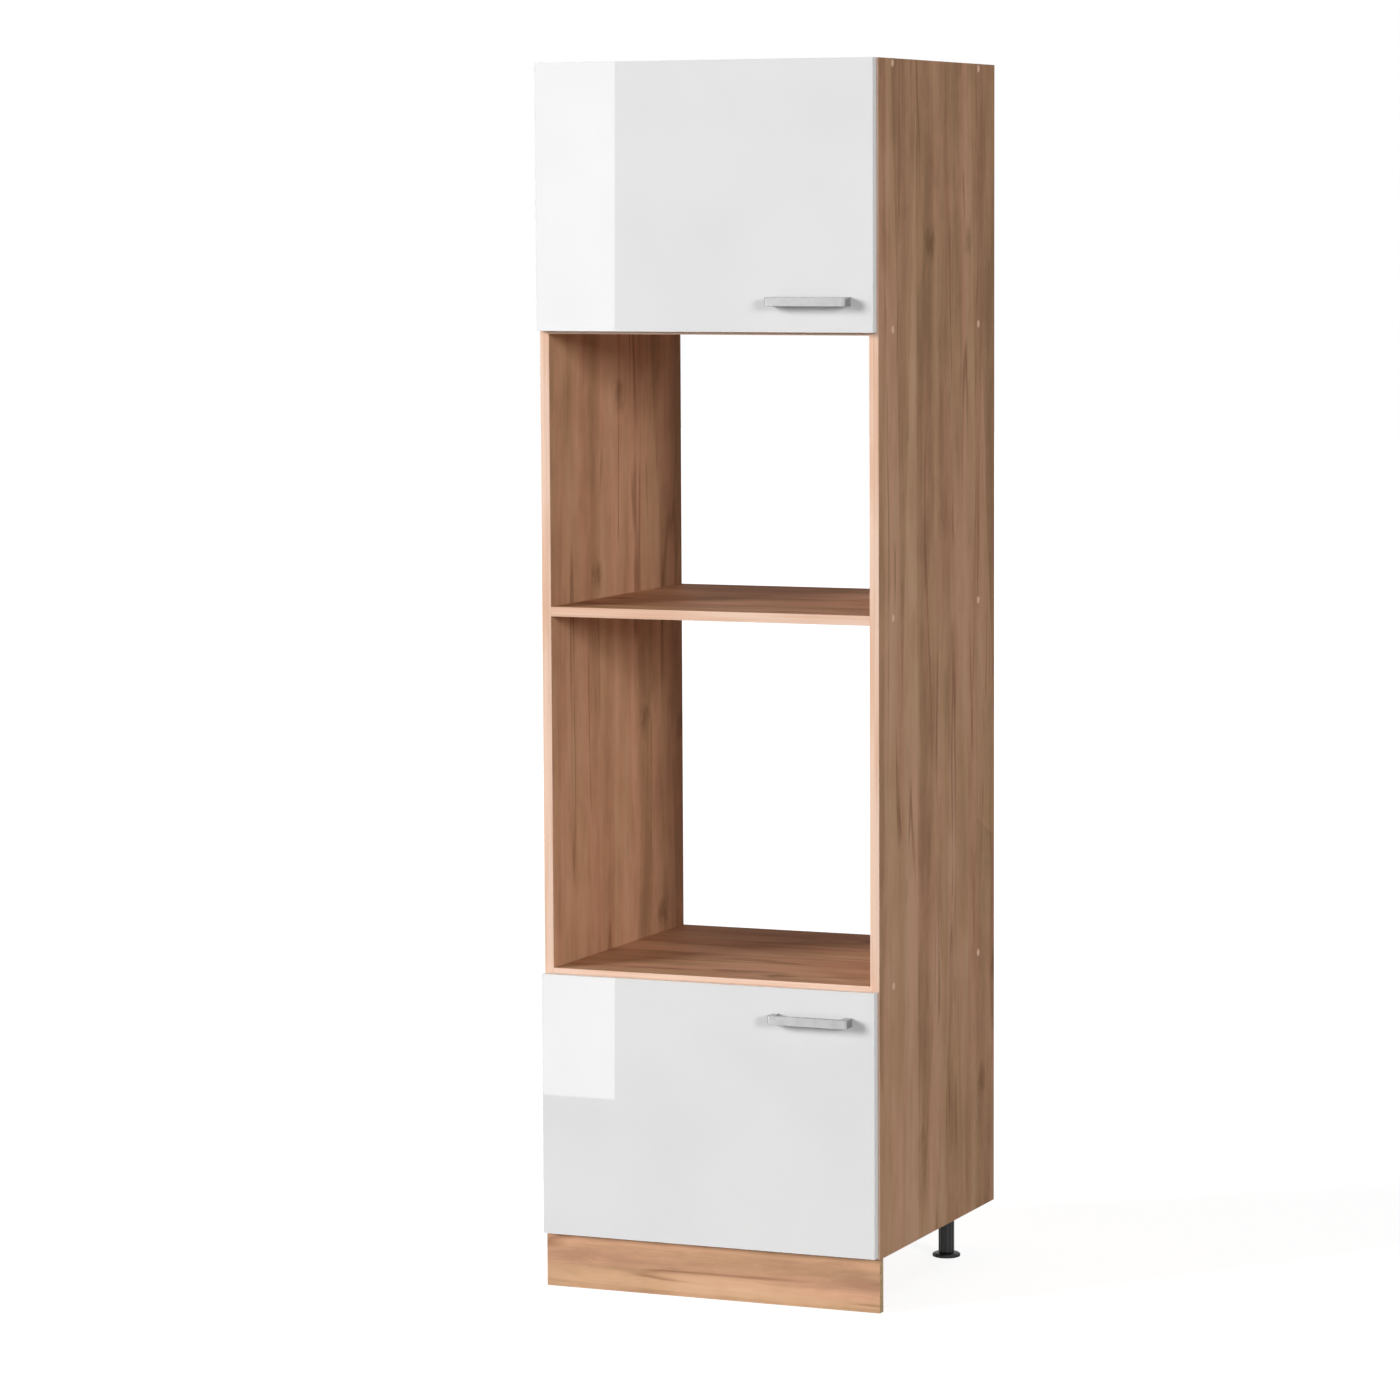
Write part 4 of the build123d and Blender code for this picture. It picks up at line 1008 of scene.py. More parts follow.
def screw_tree() -> GeometryTree:
    """Builds the tree of a screw: a low domed head with a cross recess, and its shank.

    Returns:
        The tree.
    """
    trunk = GeometryTree("cross_head_screws", {
        "Head Radius": "NodeSocketFloat",
        "Head Height": "NodeSocketFloat",
        "Shank Radius": "NodeSocketFloat",
        "Shank Length": "NodeSocketFloat",
        "Recess Length": "NodeSocketFloat",
        "Recess Width": "NodeSocketFloat",
        "Recess Depth": "NodeSocketFloat",
    })
    head = domed(trunk, trunk.given("Head Radius"), trunk.given("Head Height"))
    tall = trunk.add("ShaderNodeMath", {0: trunk.given("Recess Depth"), 1: 2.0}, operation="MULTIPLY")
    at_top = trunk.add("ShaderNodeCombineXYZ", {"Z": trunk.given("Head Height")})
    arms = []
    for first, second in (("Recess Length", "Recess Width"), ("Recess Width", "Recess Length")):
        size = trunk.add("ShaderNodeCombineXYZ", {"X": trunk.given(first), "Y": trunk.given(second),
                                                  "Z": tall})
        arm = trunk.add("GeometryNodeMeshCube", {"Size": size})
        arms.append(trunk.add("GeometryNodeTransform", {"Geometry": arm, "Translation": at_top}))
    cut = trunk.add("GeometryNodeMeshBoolean", {0: head, 1: arms}, operation="DIFFERENCE")
    shank = stem(trunk, trunk.given("Shank Radius"), trunk.given("Shank Length"))
    whole = trunk.add("GeometryNodeJoinGeometry", {0: [cut, shank]})
    trunk.end(on_points(trunk, whole))
    return trunk


def cap_tree() -> GeometryTree:
    """Builds the tree of a cover cap or a soft dot: a low dome, with a stem where it has one.

    Returns:
        The tree.
    """
    trunk = GeometryTree("domed_caps", {
        "Radius": "NodeSocketFloat",
        "Height": "NodeSocketFloat",
        "Stem Radius": "NodeSocketFloat",
        "Stem Length": "NodeSocketFloat",
    })
    dome = domed(trunk, trunk.given("Radius"), trunk.given("Height"), 36)
    peg = stem(trunk, trunk.given("Stem Radius"), trunk.given("Stem Length"))
    whole = trunk.add("GeometryNodeJoinGeometry", {0: [dome, peg]})
    trunk.end(on_points(trunk, whole))
    return trunk


def rib_tree() -> GeometryTree:
    """Builds the tree of a ring of upright ribs round each point, such as a foot's grip.

    Returns:
        The tree.
    """
    trunk = GeometryTree("ring_of_ribs", {
        "Count": "NodeSocketInt",
        "Ring Radius": "NodeSocketFloat",
        "Rib Width": "NodeSocketFloat",
        "Rib Depth": "NodeSocketFloat",
        "Rib Height": "NodeSocketFloat",
    })
    ring = trunk.add("GeometryNodeMeshCircle", {"Vertices": trunk.given("Count"),
                                                "Radius": trunk.given("Ring Radius")})
    size = trunk.add("ShaderNodeCombineXYZ", {"X": trunk.given("Rib Depth"), "Y": trunk.given("Rib Width"),
                                              "Z": trunk.given("Rib Height")})
    rib = trunk.add("GeometryNodeMeshCube", {"Size": size})
    half = trunk.add("ShaderNodeMath", {0: trunk.given("Rib Height"), 1: 0.5}, operation="MULTIPLY")
    up = trunk.add("ShaderNodeCombineXYZ", {"Z": half})
    stood = trunk.add("GeometryNodeTransform", {"Geometry": rib, "Translation": up})
    spot = trunk.add("GeometryNodeInputPosition")
    outward = trunk.add("FunctionNodeAlignRotationToVector", {"Vector": spot}, axis="X")
    ribs = trunk.add("GeometryNodeInstanceOnPoints", {"Points": ring, "Instance": stood, "Rotation": outward})
    trunk.end(trunk.add("GeometryNodeInstanceOnPoints", {"Points": trunk.given("Geometry"),
                                                         "Instance": ribs}))
    return trunk


def turned(name: str, places: Iterable[Point], profile: list[tuple[float, float]],
           around: int) -> bmesh.types.BMesh:
    """Makes round pieces by turning one closed outline about each place.

    Args:
        name: what is turned, for the error message.
        places: the middles, in metres.
        profile: the outline as radius and height in millimetres, from the axis out and back to it.
        around: how many faces each piece has round it.

    Returns:
        The mesh of all of the pieces.
    """
    if profile[0][0] != 0 or profile[-1][0] != 0:
        raise ValueError(f"the outline of {name} starts and ends on its axis")
    mesh = bmesh.new()
    for x, y, z in places:
        rings = []
        for radius, height in profile[1:-1]:
            rings.append([mesh.verts.new((x + mm(radius) * math.cos(2 * math.pi * step / around),
                                          y + mm(radius) * math.sin(2 * math.pi * step / around),
                                          z + mm(height))) for step in range(around)])
        first = mesh.verts.new((x, y, z + mm(profile[0][1])))
        last = mesh.verts.new((x, y, z + mm(profile[-1][1])))
        for step in range(around):
            after = (step + 1) % around
            mesh.faces.new((first, rings[0][after], rings[0][step]))
            mesh.faces.new((last, rings[-1][step], rings[-1][after]))
            for low, high in zip(rings, rings[1:]):
                mesh.faces.new((low[step], low[after], high[after], high[step]))
    bmesh.ops.recalc_face_normals(mesh, faces=mesh.faces)
    return mesh


def strips(boxes: list[tuple[Point, Point]], soften: float, touch: float = 0.001) -> bmesh.types.BMesh:
    """Makes straight strips, with the two long front edges of each softened.

    All edges are bevelled at once, since a second bevel would order the mesh's faces by chance.

    Args:
        boxes: the low and the high corner of each strip, in metres.
        soften: how much the edges are taken off, in millimetres.
        touch: a length shorter than this, in millimetres, is none.

    Returns:
        The mesh of all of the strips.
    """
    mesh = bmesh.new()
    front = []
    for low, high in boxes:
        made = bmesh.ops.create_cube(mesh, size=1.0)["verts"]
        for vert in made:
            vert.co = [a + (b - a) * (c + 0.5) for a, b, c in zip(low, high, vert.co)]
        along = 2 if high[2] - low[2] > high[0] - low[0] else 0
        front += [edge for edge in dict.fromkeys(edge for vert in made for edge in vert.link_edges)
                  if all(abs(vert.co.y - low[1]) < mm(touch) for vert in edge.verts)
                  and abs((edge.verts[0].co - edge.verts[1].co)[along]) > mm(touch)]
    bmesh.ops.bevel(mesh, geom=front, offset=mm(soften), segments=3, profile=0.5, affect="EDGES")
    return mesh


def finished_mesh(name: str, mesh: bmesh.types.BMesh, *materials: bpy.types.Material) -> bpy.types.Object:
    """Turns a built mesh into an object with its materials.

    Args:
        name: the piece's name.
        mesh: the built mesh, which is freed.
        materials: its materials.

    Returns:
        The new piece.
    """
    data = bpy.data.meshes.new(name)
    mesh.to_mesh(data)
    mesh.free()
    for material in materials:
        data.materials.append(material)
    made = link_mesh(name, data)
    smooth(made)
    return made


@dataclass
class Board:
    """One decor board: the axis it is thin along, its grain and its place in the print.

    skin is how near to its box's sides, in millimetres, its printed faces lie.
    """

    node: str
    thin_axis: int
    grain: Grain
    shift: Point
    slot: str = "oak_decor"
    ease: float = 0.25
    skin: float = 0.02
    banded: bool = False
    painted_light_tones: dict[str, str] = field(default_factory=dict)

    def build(self, palette: Palette) -> bpy.types.Object:
        """Makes the board with print on its broad faces and raw chipboard where it is sawn or drilled.

        A banded board has a pale strip on its front edge.

        Args:
            palette: the finishes.

        Returns:
            The finished board.
        """
        made = eased(self.node, self.ease)
        low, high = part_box(self.node)
        axis = self.thin_axis

        def side_of(middle: Vector, normal: Vector) -> int:
            """Tells the board's sides apart.

            Args:
                middle: a face's middle.
                normal: its normal.

            Returns:
                0 for a printed face, 1 for a sawn one and 2 for a banded one.
            """
            if self.banded and middle.y - low.y < mm(self.ease + self.skin):
                return 2
            outer = min(middle[axis] - low[axis], high[axis] - middle[axis]) < mm(self.skin)
            return 0 if outer and abs(normal[axis]) > SQUARE_ON else 1

        oak = palette.oak(self.node, self.grain, self.shift, self.painted_light_tones)
        paint_by_side(made, [oak, palette.chipboard, palette.band_across], side_of)
        return seat(made, "carcass", self.slot, self.node)


@dataclass
class Carcass:
    """The box of the unit: sides, fixed boards, loose shelves, backs, front bands and what joins them."""

    palette: Palette
    caps: GeometryTree
    cap_radius: float = 6.2
    cap_high: float = 0.8
    cap_stem_radius: float = 1.9
    cap_stem_long: float = 2.0
    band_soften: float = 0.3
    back_ease: float = 0.15
    pin_ease: float = 0.3
    cam_ease: float = 0.2
    capped: tuple[str, ...] = ("lower_fixed_shelf", "middle_fixed_shelf", "upper_fixed_shelf", "top_panel")
    boards: list[Board] = field(default_factory=lambda: [
        Board("left_side_panel", 0, Grain.UP, (310.0, 40.0, 120.0)),
        Board("right_side_panel", 0, Grain.UP, (-845.0, 215.0, -930.0)),
        Board("bottom_panel", 2, Grain.ACROSS, (120.0, 90.0, 700.0)),
        Board("lower_fixed_shelf", 2, Grain.ACROSS, (-260.0, 340.0, -300.0)),
        Board("middle_fixed_shelf", 2, Grain.ACROSS, (530.0, -180.0, 95.0)),
        Board("upper_fixed_shelf", 2, Grain.ACROSS, (910.0, 460.0, 20.0)),
        Board("top_panel", 2, Grain.ACROSS, (-710.0, 250.0, 410.0)),
        Board("lower_loose_shelf", 2, Grain.ACROSS, (75.0, -640.0, 260.0), banded=True),
        Board("upper_loose_shelf", 2, Grain.ACROSS, (-95.0, 820.0, -510.0), banded=True),
    ])

    def build(self) -> None:
        """Makes every piece of the box."""
        for board in self.boards:
            board.build(self.palette)
        self.front_bands()
        self.backs()
        self.cover_caps()
        rounded("shelf_pins", self.pin_ease, self.palette.zinc_plate, "carcass", "screw_steel")
        for node in ("confirmat_screws", "cam_bolts"):
            dress(node, self.palette.zinc_plate)
        dress("wooden_dowels", self.palette.beech)
        rounded("cam_discs", self.cam_ease, self.palette.cast_zinc, "carcass", "cam_zinc")

    def front_bands(self) -> None:
        """Makes the glued front strips: two uprights and one along each fixed board."""
        low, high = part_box("front_edge_bands")
        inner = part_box("left_side_panel")[1].x
        upright = [((start, low.y, low.z), (end, high.y, high.z))
                   for start, end in ((low.x, inner), (-inner, high.x))]
        boards = [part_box(node) for node in ("bottom_panel", *self.capped)]
        level = [((inner, low.y, under.z), (-inner, high.y, over.z)) for under, over in boards]
        for name, boxes, finish in (("upright_front_bands", upright, self.palette.band_up),
                                    ("board_front_bands", level, self.palette.band_across)):
            made = finished_mesh(name, strips(boxes, self.band_soften), finish)
            seat(made, "carcass", "light_band", "front_edge_bands")

    def backs(self) -> None:
        """Makes the thin backs: pale lacquer inside and on its eased edges, raw board behind."""
        for node in ("lower_back_panel", "upper_back_panel"):
            made = eased(node, self.back_ease)
            paint_by_side(made, [self.palette.back_face, self.palette.back_raw],
                          lambda middle, normal: 0 if normal.y < -SLANT else 1)
            seat(made, "carcass", "back_board", node)

    def cover_caps(self) -> None:
        """Makes the round cover caps on both sides."""
        low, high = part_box("cover_caps")
        proud = mm(self.cap_high)
        places: list[Point] = []
        ways: list[Turn] = []
        for y, z in self.cap_spots():
            places += [(low.x + proud, y, z), (high.x - proud, y, z)]
            ways += [Turn.LEFT, Turn.RIGHT]
        spots = points("cap_places", places, ways)
        made = self.caps.run("domed_cover_caps", spots, self.palette.cap_plastic, {
            "Radius": mm(self.cap_radius),
            "Height": proud,
            "Stem Radius": mm(self.cap_stem_radius),
            "Stem Length": mm(self.cap_stem_long),
        })
        seat(made, "carcass", "cap_plastic", "cover_caps")

    def cap_spots(self) -> list[tuple[float, float]]:
        """Finds the caps of one side, two at the end of each of the four upper boards.

        Returns:
            The depth and height of each cap's middle.
        """
        low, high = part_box("cover_caps")
        rows = (low.y + mm(self.cap_radius), high.y - mm(self.cap_radius))
        spots = []
        for node in self.capped:
            under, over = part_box(node)
            spots += [(y, (under.z + over.z) / 2) for y in rows]
        return spots


@dataclass
class WoodScrews:
    """One set of small screws with cross recesses.

    The head and the shank are given as radius and length in millimetres, and the recess as shares of
    the head's radius and length.
    """

    name: str
    node: str
    places: list[Point]
    way: Turn
    head: tuple[float, float] = (3.5, 2.0)
    shank: tuple[float, float] = (2.0, 16.0)
    body: str = "carcass"
    recess_long: float = 1.05
    recess_wide: float = 0.24
    recess_deep: float = 0.7

    def build(self, trunk: GeometryTree, finish: bpy.types.Material) -> bpy.types.Object:
        """Makes the screws.

        Args:
            trunk: the tree of a screw.
            finish: their material.

        Returns:
            The finished piece.
        """
        radius, high = self.head
        made = trunk.run(self.name, points(f"{self.name}_places", self.places, self.way), finish, {
            "Head Radius": mm(radius),
            "Head Height": mm(high),
            "Shank Radius": mm(self.shank[0]),
            "Shank Length": mm(self.shank[1]),
            "Recess Length": mm(radius * self.recess_long),
            "Recess Width": mm(radius * self.recess_wide),
            "Recess Depth": mm(high * self.recess_deep),
        })
        return seat(made, self.body, "screw_steel", self.node)


@dataclass
class Legs:
    """The four legs: a plate with a socket, a ribbed tube and a levelling foot with a grip.

    A rib's size is its width, its depth and its height. The fins are the tube's ribs, and the grip is
    the foot's.
    """

    palette: Palette
    screws: GeometryTree
    ribs: GeometryTree = field(default_factory=rib_tree)
    tube_radius: float = 13.5
    tube_wall: float = 12.8
    tube_low: float = 7.5
    tube_high: float = 70.0
    fins: int = 12
    fin: Point = (4.2, 1.4, 58.5)
    fin_reach: float = 13.45
    fin_low: float = 8.5
    collar_radius: float = 15.0
    collar_high: float = 86.0
    bore_radius: float = 10.05
    bore_top: float = 62.0
    disc_radius: float = 23.2
    disc_high: float = 7.0
    stem_radius: float = 10.0
    stem_top: float = 58.0
    grips: int = 24
    grip: Point = (2.6, 1.8, 4.2)
    grip_reach: float = 24.0
    grip_low: float = 0.7
    plate_wide: float = 60.0
    plate_thick: float = 4.0
    plate_ease: float = 0.4
    screw_edge: float = 8.0

    def middles(self) -> dict[str, Point]:
        """Finds the legs.

        Returns:
            The middle of each leg on the floor, by its foot's node.
        """
        found = {}
        for node in ("foot_front_left", "foot_front_right", "foot_rear_left", "foot_rear_right"):
            low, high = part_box(node)
            found[node] = ((low.x + high.x) / 2, (low.y + high.y) / 2, 0.0)
        return found

    def build(self) -> None:
        """Makes the feet, tubes, plates and their screws."""
        middles = self.middles()
        for node, place in middles.items():
            self.foot(node, place)
        self.tubes(list(middles.values()))
        rounded("leg_plates", self.plate_ease, self.palette.black_plastic, "carcass", "leg_plastic")
        reach = mm(self.plate_wide / 2 - self.screw_edge)
        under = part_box("leg_plates")[1].z - mm(self.plate_thick)
        places = [(x + dx, y + dy, under) for x, y, _ in middles.values()
                  for dx in (-reach, reach) for dy in (-reach, reach)]
        WoodScrews("leg_plate_cross_screws", "leg_plate_screws", places,
                   Turn.DOWN).build(self.screws, self.palette.zinc_plate)

    def foot(self, node: str, place: Point) -> None:
        """Makes one levelling foot, with grip ribs round its disc.

        Args:
            node: the foot's CAD node, which is also its body.
            place: its middle on the floor.
        """
        rim = self.disc_radius
        top = self.disc_high
        # A chamfer below, a rounded shoulder, a fillet at the stem and a chamfer on its end.
        outline = [(0.0, 0.0), (rim - 1.0, 0.0), (rim, 0.8), (rim, top - 2.2), (rim - 0.6, top - 0.9),
                   (rim - 2.0, top - 0.2), (rim - 4.0, top), (self.stem_radius + 1.6, top),
                   (self.stem_radius, top + 0.2), (self.stem_radius, self.stem_top - 0.6),
                   (self.stem_radius - 0.6, self.stem_top), (0.0, self.stem_top)]
        disc = finished_mesh(f"{node}_disc", turned(node, [place], outline, 64), self.palette.black_plastic)
        grip = self.rib_rings(f"{node}_grip", [(place[0], place[1], mm(self.grip_low))], self.grips,
                              self.grip_reach, self.grip)
        seat(self.joined(f"{node}_ribbed", [disc, grip]), node, "leg_plastic", node)

    def tubes(self, middles: list[Point]) -> None:
        """Makes the leg tubes with their collars and fine upright ribs.

        Args:
            middles: the legs' middles on the floor.
        """
        wall = self.tube_wall
        # From the end of the bore down, round the lower lip, up the wall, and out to the collar.
        outline = [(0.0, self.bore_top), (self.bore_radius, self.bore_top), (self.bore_radius, self.tube_low),
                   (wall - 0.5, self.tube_low), (wall, self.tube_low + 0.5), (wall, self.tube_high - 3.0),
                   (self.tube_radius, self.tube_high - 2.4), (self.tube_radius, self.tube_high),
                   (self.collar_radius, self.tube_high), (self.collar_radius, self.collar_high),
                   (0.0, self.collar_high)]
        shells = finished_mesh("leg_tube_shells", turned("leg tubes", middles, outline, 56),
                               self.palette.black_plastic)
        fins = self.rib_rings("leg_tube_fins", [(x, y, mm(self.fin_low)) for x, y, _ in middles], self.fins,
                              self.fin_reach, self.fin)
        seat(self.joined("ribbed_leg_tubes", [shells, fins]), "carcass", "leg_plastic", "leg_tubes")

    def rib_rings(self, name: str, middles: list[Point], count: int, reach: float,
                  rib: Point) -> bpy.types.Object:
        """Makes a ring of upright ribs round each of several places.

        Args:
            name: the piece's name.
            middles: the middles of the rings, at the lower ends of their ribs, in metres.
            count: how many ribs each ring has.
            reach: how far from the middle the ribs reach, in millimetres.
            rib: each rib's width, depth and height in millimetres.

        Returns:
            The ribs.
        """
        return self.ribs.run(name, points(f"{name}_middles", middles, Turn.UP), self.palette.black_plastic, {
            "Count": count,
            "Ring Radius": mm(reach - rib[1] / 2),
            "Rib Width": mm(rib[0]),
            "Rib Depth": mm(rib[1]),
            "Rib Height": mm(rib[2]),
        })

    def joined(self, name: str, pieces: list[bpy.types.Object]) -> bpy.types.Object:
        """Joins several pieces of one body and one finish into one.

        Args:
            name: the new piece's name.
            pieces: what is joined, which is removed.

        Returns:
            The joined piece.
        """
        whole = bmesh.new()
        for piece in pieces:
            whole.from_mesh(piece.data)
            bpy.data.objects.remove(piece)
        return finished_mesh(name, whole, self.palette.black_plastic)


@dataclass
class Plinth:
    """The loose board under the unit and the clips that hold it to the front legs."""

    palette: Palette
    screws: GeometryTree
    clip_screw_x: float = 12.0
    clip_z: float = 45.0
    clip_base: float = 3.0
    clip_ease: float = 0.35
    # The plinth's print is painted paler than the other boards': painted light, standing in for the light
    # that the door's overhang shades off it.
    board: Board = field(default_factory=lambda: Board(
        "plinth_board", 1, Grain.ACROSS, (-615.0, 50.0, 300.0), slot="oak_plinth", ease=0.3,
        painted_light_tones={"pale": "#EABFA1", "body": "#D8AB8B", "dark": "#B48C70"}))

    def build(self) -> None:
        """Makes the plinth board, its clips and their screws."""
        self.board.build(self.palette)
        rounded("plinth_clips", self.clip_ease, self.palette.black_plastic, "carcass", "leg_plastic")
        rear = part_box("plinth_board")[1].y + mm(self.clip_base)
        legs = [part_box(node) for node in ("foot_front_left", "foot_front_right")]
        places = [((low.x + high.x) / 2 + dx, rear, mm(self.clip_z)) for low, high in legs
                  for dx in (-mm(self.clip_screw_x), mm(self.clip_screw_x))]
        WoodScrews("clip_cross_screws", "plinth_clip_screws", places, Turn.BACK,
                   shank=(2.0, 13.0)).build(self.screws, self.palette.zinc_plate)


@dataclass
class WallTies:
    """The two steel angles inside the top compartment and their screws."""

    palette: Palette
    screws: GeometryTree
    angle_half: float = 15.0
    angle_thick: float = 2.0
    angle_ease: float = 0.3
    hole_drop: float = 24.0

    def build(self) -> None:
        """Makes the angles and their screws."""
        low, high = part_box("wall_brackets")
        rounded("wall_brackets", self.angle_ease, self.palette.zinc_plate, "carcass", "bracket_steel")
        places = [(x, high.y - mm(self.hole_drop), high.z - mm(self.angle_thick))
                  for x in (low.x + mm(self.angle_half), high.x - mm(self.angle_half))]
        WoodScrews("bracket_cross_screws", "wall_bracket_screws", places, Turn.DOWN,
                   shank=(2.0, 14.0)).build(self.screws, self.palette.zinc_plate)


@dataclass
class Hinges:
    """The fixed halves of the four cup hinges, on the left side."""

    palette: Palette
    screws: GeometryTree
    heights: tuple[float, ...] = (178.5, 448.5, 1691.0, 1961.0)
    side_x: float = -284.0
    screw_y: float = -215.0
    plate_screw_z: float = 16.0
    plate_base: float = 2.0
    plate_ease: float = 0.3
    arm_top: float = 27.4
    arm_ease: float = 0.25
    pin_ease: float = 0.15

    def build(self) -> None:
        """Makes the arms, plates, pins and screws that stay with the carcass."""
        for node, ease in (("hinge_arms", self.arm_ease), ("hinge_mounting_plates", self.plate_ease),
                           ("arm_pins", self.pin_ease)):
            rounded(node, ease, self.palette.nickel, "carcass", "hinge_steel")
        on_plates = [(mm(self.side_x + self.plate_base), mm(self.screw_y), mm(z + dz))
                     for z in self.heights for dz in (-self.plate_screw_z, self.plate_screw_z)]
        WoodScrews("plate_cross_screws", "mounting_plate_screws", on_plates, Turn.RIGHT, head=(4.5, 1.2),
                   shank=(2.5, 13.0)).build(self.screws, self.palette.zinc_plate)
        on_arms = [(mm(self.side_x + self.arm_top), mm(self.screw_y), mm(z)) for z in self.heights]
        WoodScrews("clamp_cross_screws", "arm_clamp_screws", on_arms, Turn.RIGHT, head=(4.0, 1.6),
                   shank=(2.4, 25.4)).build(self.screws, self.palette.zinc_plate)


@dataclass
class Door:
    """One gloss door with its band, handle, soft dots and the moving halves of its two hinges.

    skin is how near to its box's sides, in millimetres, its front and its back lie. A screw's head and
    a dot's stem are given as radius and length.
    """

    name: str
    palette: Palette
    screws: GeometryTree
    caps: GeometryTree
    skin: float = 0.05
    panel_ease: float = 0.12
    band_ease: float = 0.3
    handle_ease: float = 0.35
    handle_screw_head: tuple[float, float] = (4.0, 2.2)
    hinge_inset: float = 85.0
    cup_x: float = -275.5
    cup_ease: float = 0.2
    cup_screw_head: tuple[float, float] = (3.5, 0.6)
    pin_ease: float = 0.15
    link_ease: float = 0.18
    ear_x: float = 9.5
    ear_z: float = 24.0
    dot_inset: float = 40.0
    dot_x: float = 292.0
    dot_radius: float = 4.0
    dot_high: float = 1.5
    dot_stem: tuple[float, float] = (0.5, 0.02)

    @property
    def body(self) -> str:
        """The CAD body of the door."""
        return f"{self.name}_door"

    def build(self) -> None:
        """Makes every piece that moves with the door, and the links of its hinges."""
        self.panel()
        rounded(f"{self.body}_edge_band", self.band_ease, self.palette.gloss_band, self.body, "gloss_band",
                segments=3)
        self.handle()
        self.dots()
        self.hinge_cups()
        for node in (f"{self.name}_outer_links", f"{self.name}_inner_links"):
            rounded(node, self.link_ease, self.palette.nickel, node, "hinge_steel")

    def panel(self) -> None:
        """Makes the door's panel: gloss in front, matt melamine behind, raw where it is bored."""
        made = eased(self.body, self.panel_ease)
        low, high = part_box(self.body)

        def side_of(middle: Vector, normal: Vector) -> int:
            """Tells the door's sides apart.

            Args:
                middle: a face's middle.
                normal: its normal.

            Returns:
                0 for the gloss front, 1 for the matt back and 2 for bored fibreboard.
            """
            if normal.y < -SQUARE_ON and middle.y - low.y < mm(self.skin):
                return 0
            if normal.y > SQUARE_ON and high.y - middle.y < mm(self.skin):
                return 1
            return 2

        paint_by_side(made, [self.palette.gloss_front, self.palette.door_back, self.palette.fibre_core],
                      side_of)
        seat(made, self.body, "gloss_front", self.body)

    def handle(self) -> None:
        """Makes the bow handle and its two screws from behind."""
        rounded(f"{self.body}_handle", self.handle_ease, self.palette.handle, self.body, "handle_metal",
                segments=3)
        low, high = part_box(f"{self.name}_handle_screws")
        radius, thick = (mm(size) for size in self.handle_screw_head)
        places = [(x, high.y - thick, (low.z + high.z) / 2) for x in (low.x + radius, high.x - radius)]
        WoodScrews(f"{self.name}_handle_cross_screws", f"{self.name}_handle_screws", places, Turn.BACK,
                   self.handle_screw_head, (2.0, 26.0), self.body).build(self.screws, self.palette.zinc_plate)

    def dots(self) -> None:
        """Makes the soft dots that the door closes on, which have next to no stem."""
        low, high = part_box(f"{self.body}_edge_band")
        places = [(mm(self.dot_x), high.y, z)
                  for z in (low.z + mm(self.dot_inset), high.z - mm(self.dot_inset))]
        spots = points(f"{self.name}_dot_places", places, Turn.BACK)
        made = self.caps.run(f"{self.name}_soft_dots", spots, self.palette.soft_dot, {
            "Radius": mm(self.dot_radius),
            "Height": mm(self.dot_high),
            "Stem Radius": mm(self.dot_stem[0]),
            "Stem Length": mm(self.dot_stem[1]),
        })
        seat(made, self.body, "bumper_plastic", f"{self.body}_bumpers")

    def hinge_cups(self) -> None:
        """Makes the cups, their pins and their screws."""
        for node, ease in (("hinge_cups", self.cup_ease), ("cup_pins", self.pin_ease)):
            rounded(f"{self.name}_{node}", ease, self.palette.nickel, self.body, "hinge_steel")
        low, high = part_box(f"{self.body}_edge_band")
        seat_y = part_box(f"{self.name}_cup_screws")[1].y - mm(self.cup_screw_head[1])
        heights = (low.z + mm(self.hinge_inset), high.z - mm(self.hinge_inset))
        places = [(mm(self.cup_x + self.ear_x), seat_y, z + mm(dz)) for z in heights
                  for dz in (-self.ear_z, self.ear_z)]
        WoodScrews(f"{self.name}_cup_cross_screws", f"{self.name}_cup_screws", places, Turn.BACK,
                   self.cup_screw_head, (1.75, 11.8), self.body).build(self.screws, self.palette.zinc_plate)


@dataclass(frozen=True)
class SoftLight:
    """One large soft panel, which looks at the middle of the object. Lengths are in metres."""

    name: str
    azimuth: float
    rise: float
    watts: float
    size: float
    far: float = 32.0
    aim: Point = (0.0, 0.0, 1.0)

    def build(self) -> None:
        """Makes the light, out of sight of the camera and the gloss doors."""
        data = bpy.data.lights.new(self.name, "AREA")
        data.shape = "SQUARE"
        data.size = self.size
        data.energy = self.watts
        turn = math.radians(self.azimuth)
        up = math.radians(self.rise)
        way = Vector((math.sin(turn) * math.cos(up), -math.cos(turn) * math.cos(up), math.sin(up)))
        made = bpy.data.objects.new(self.name, data)
        made.location = Vector(self.aim) + way * self.far
        made.rotation_euler = (-way).to_track_quat("-Z", "Y").to_euler()
        made.visible_camera = False
        made.visible_glossy = False
        bpy.context.scene.collection.objects.link(made)


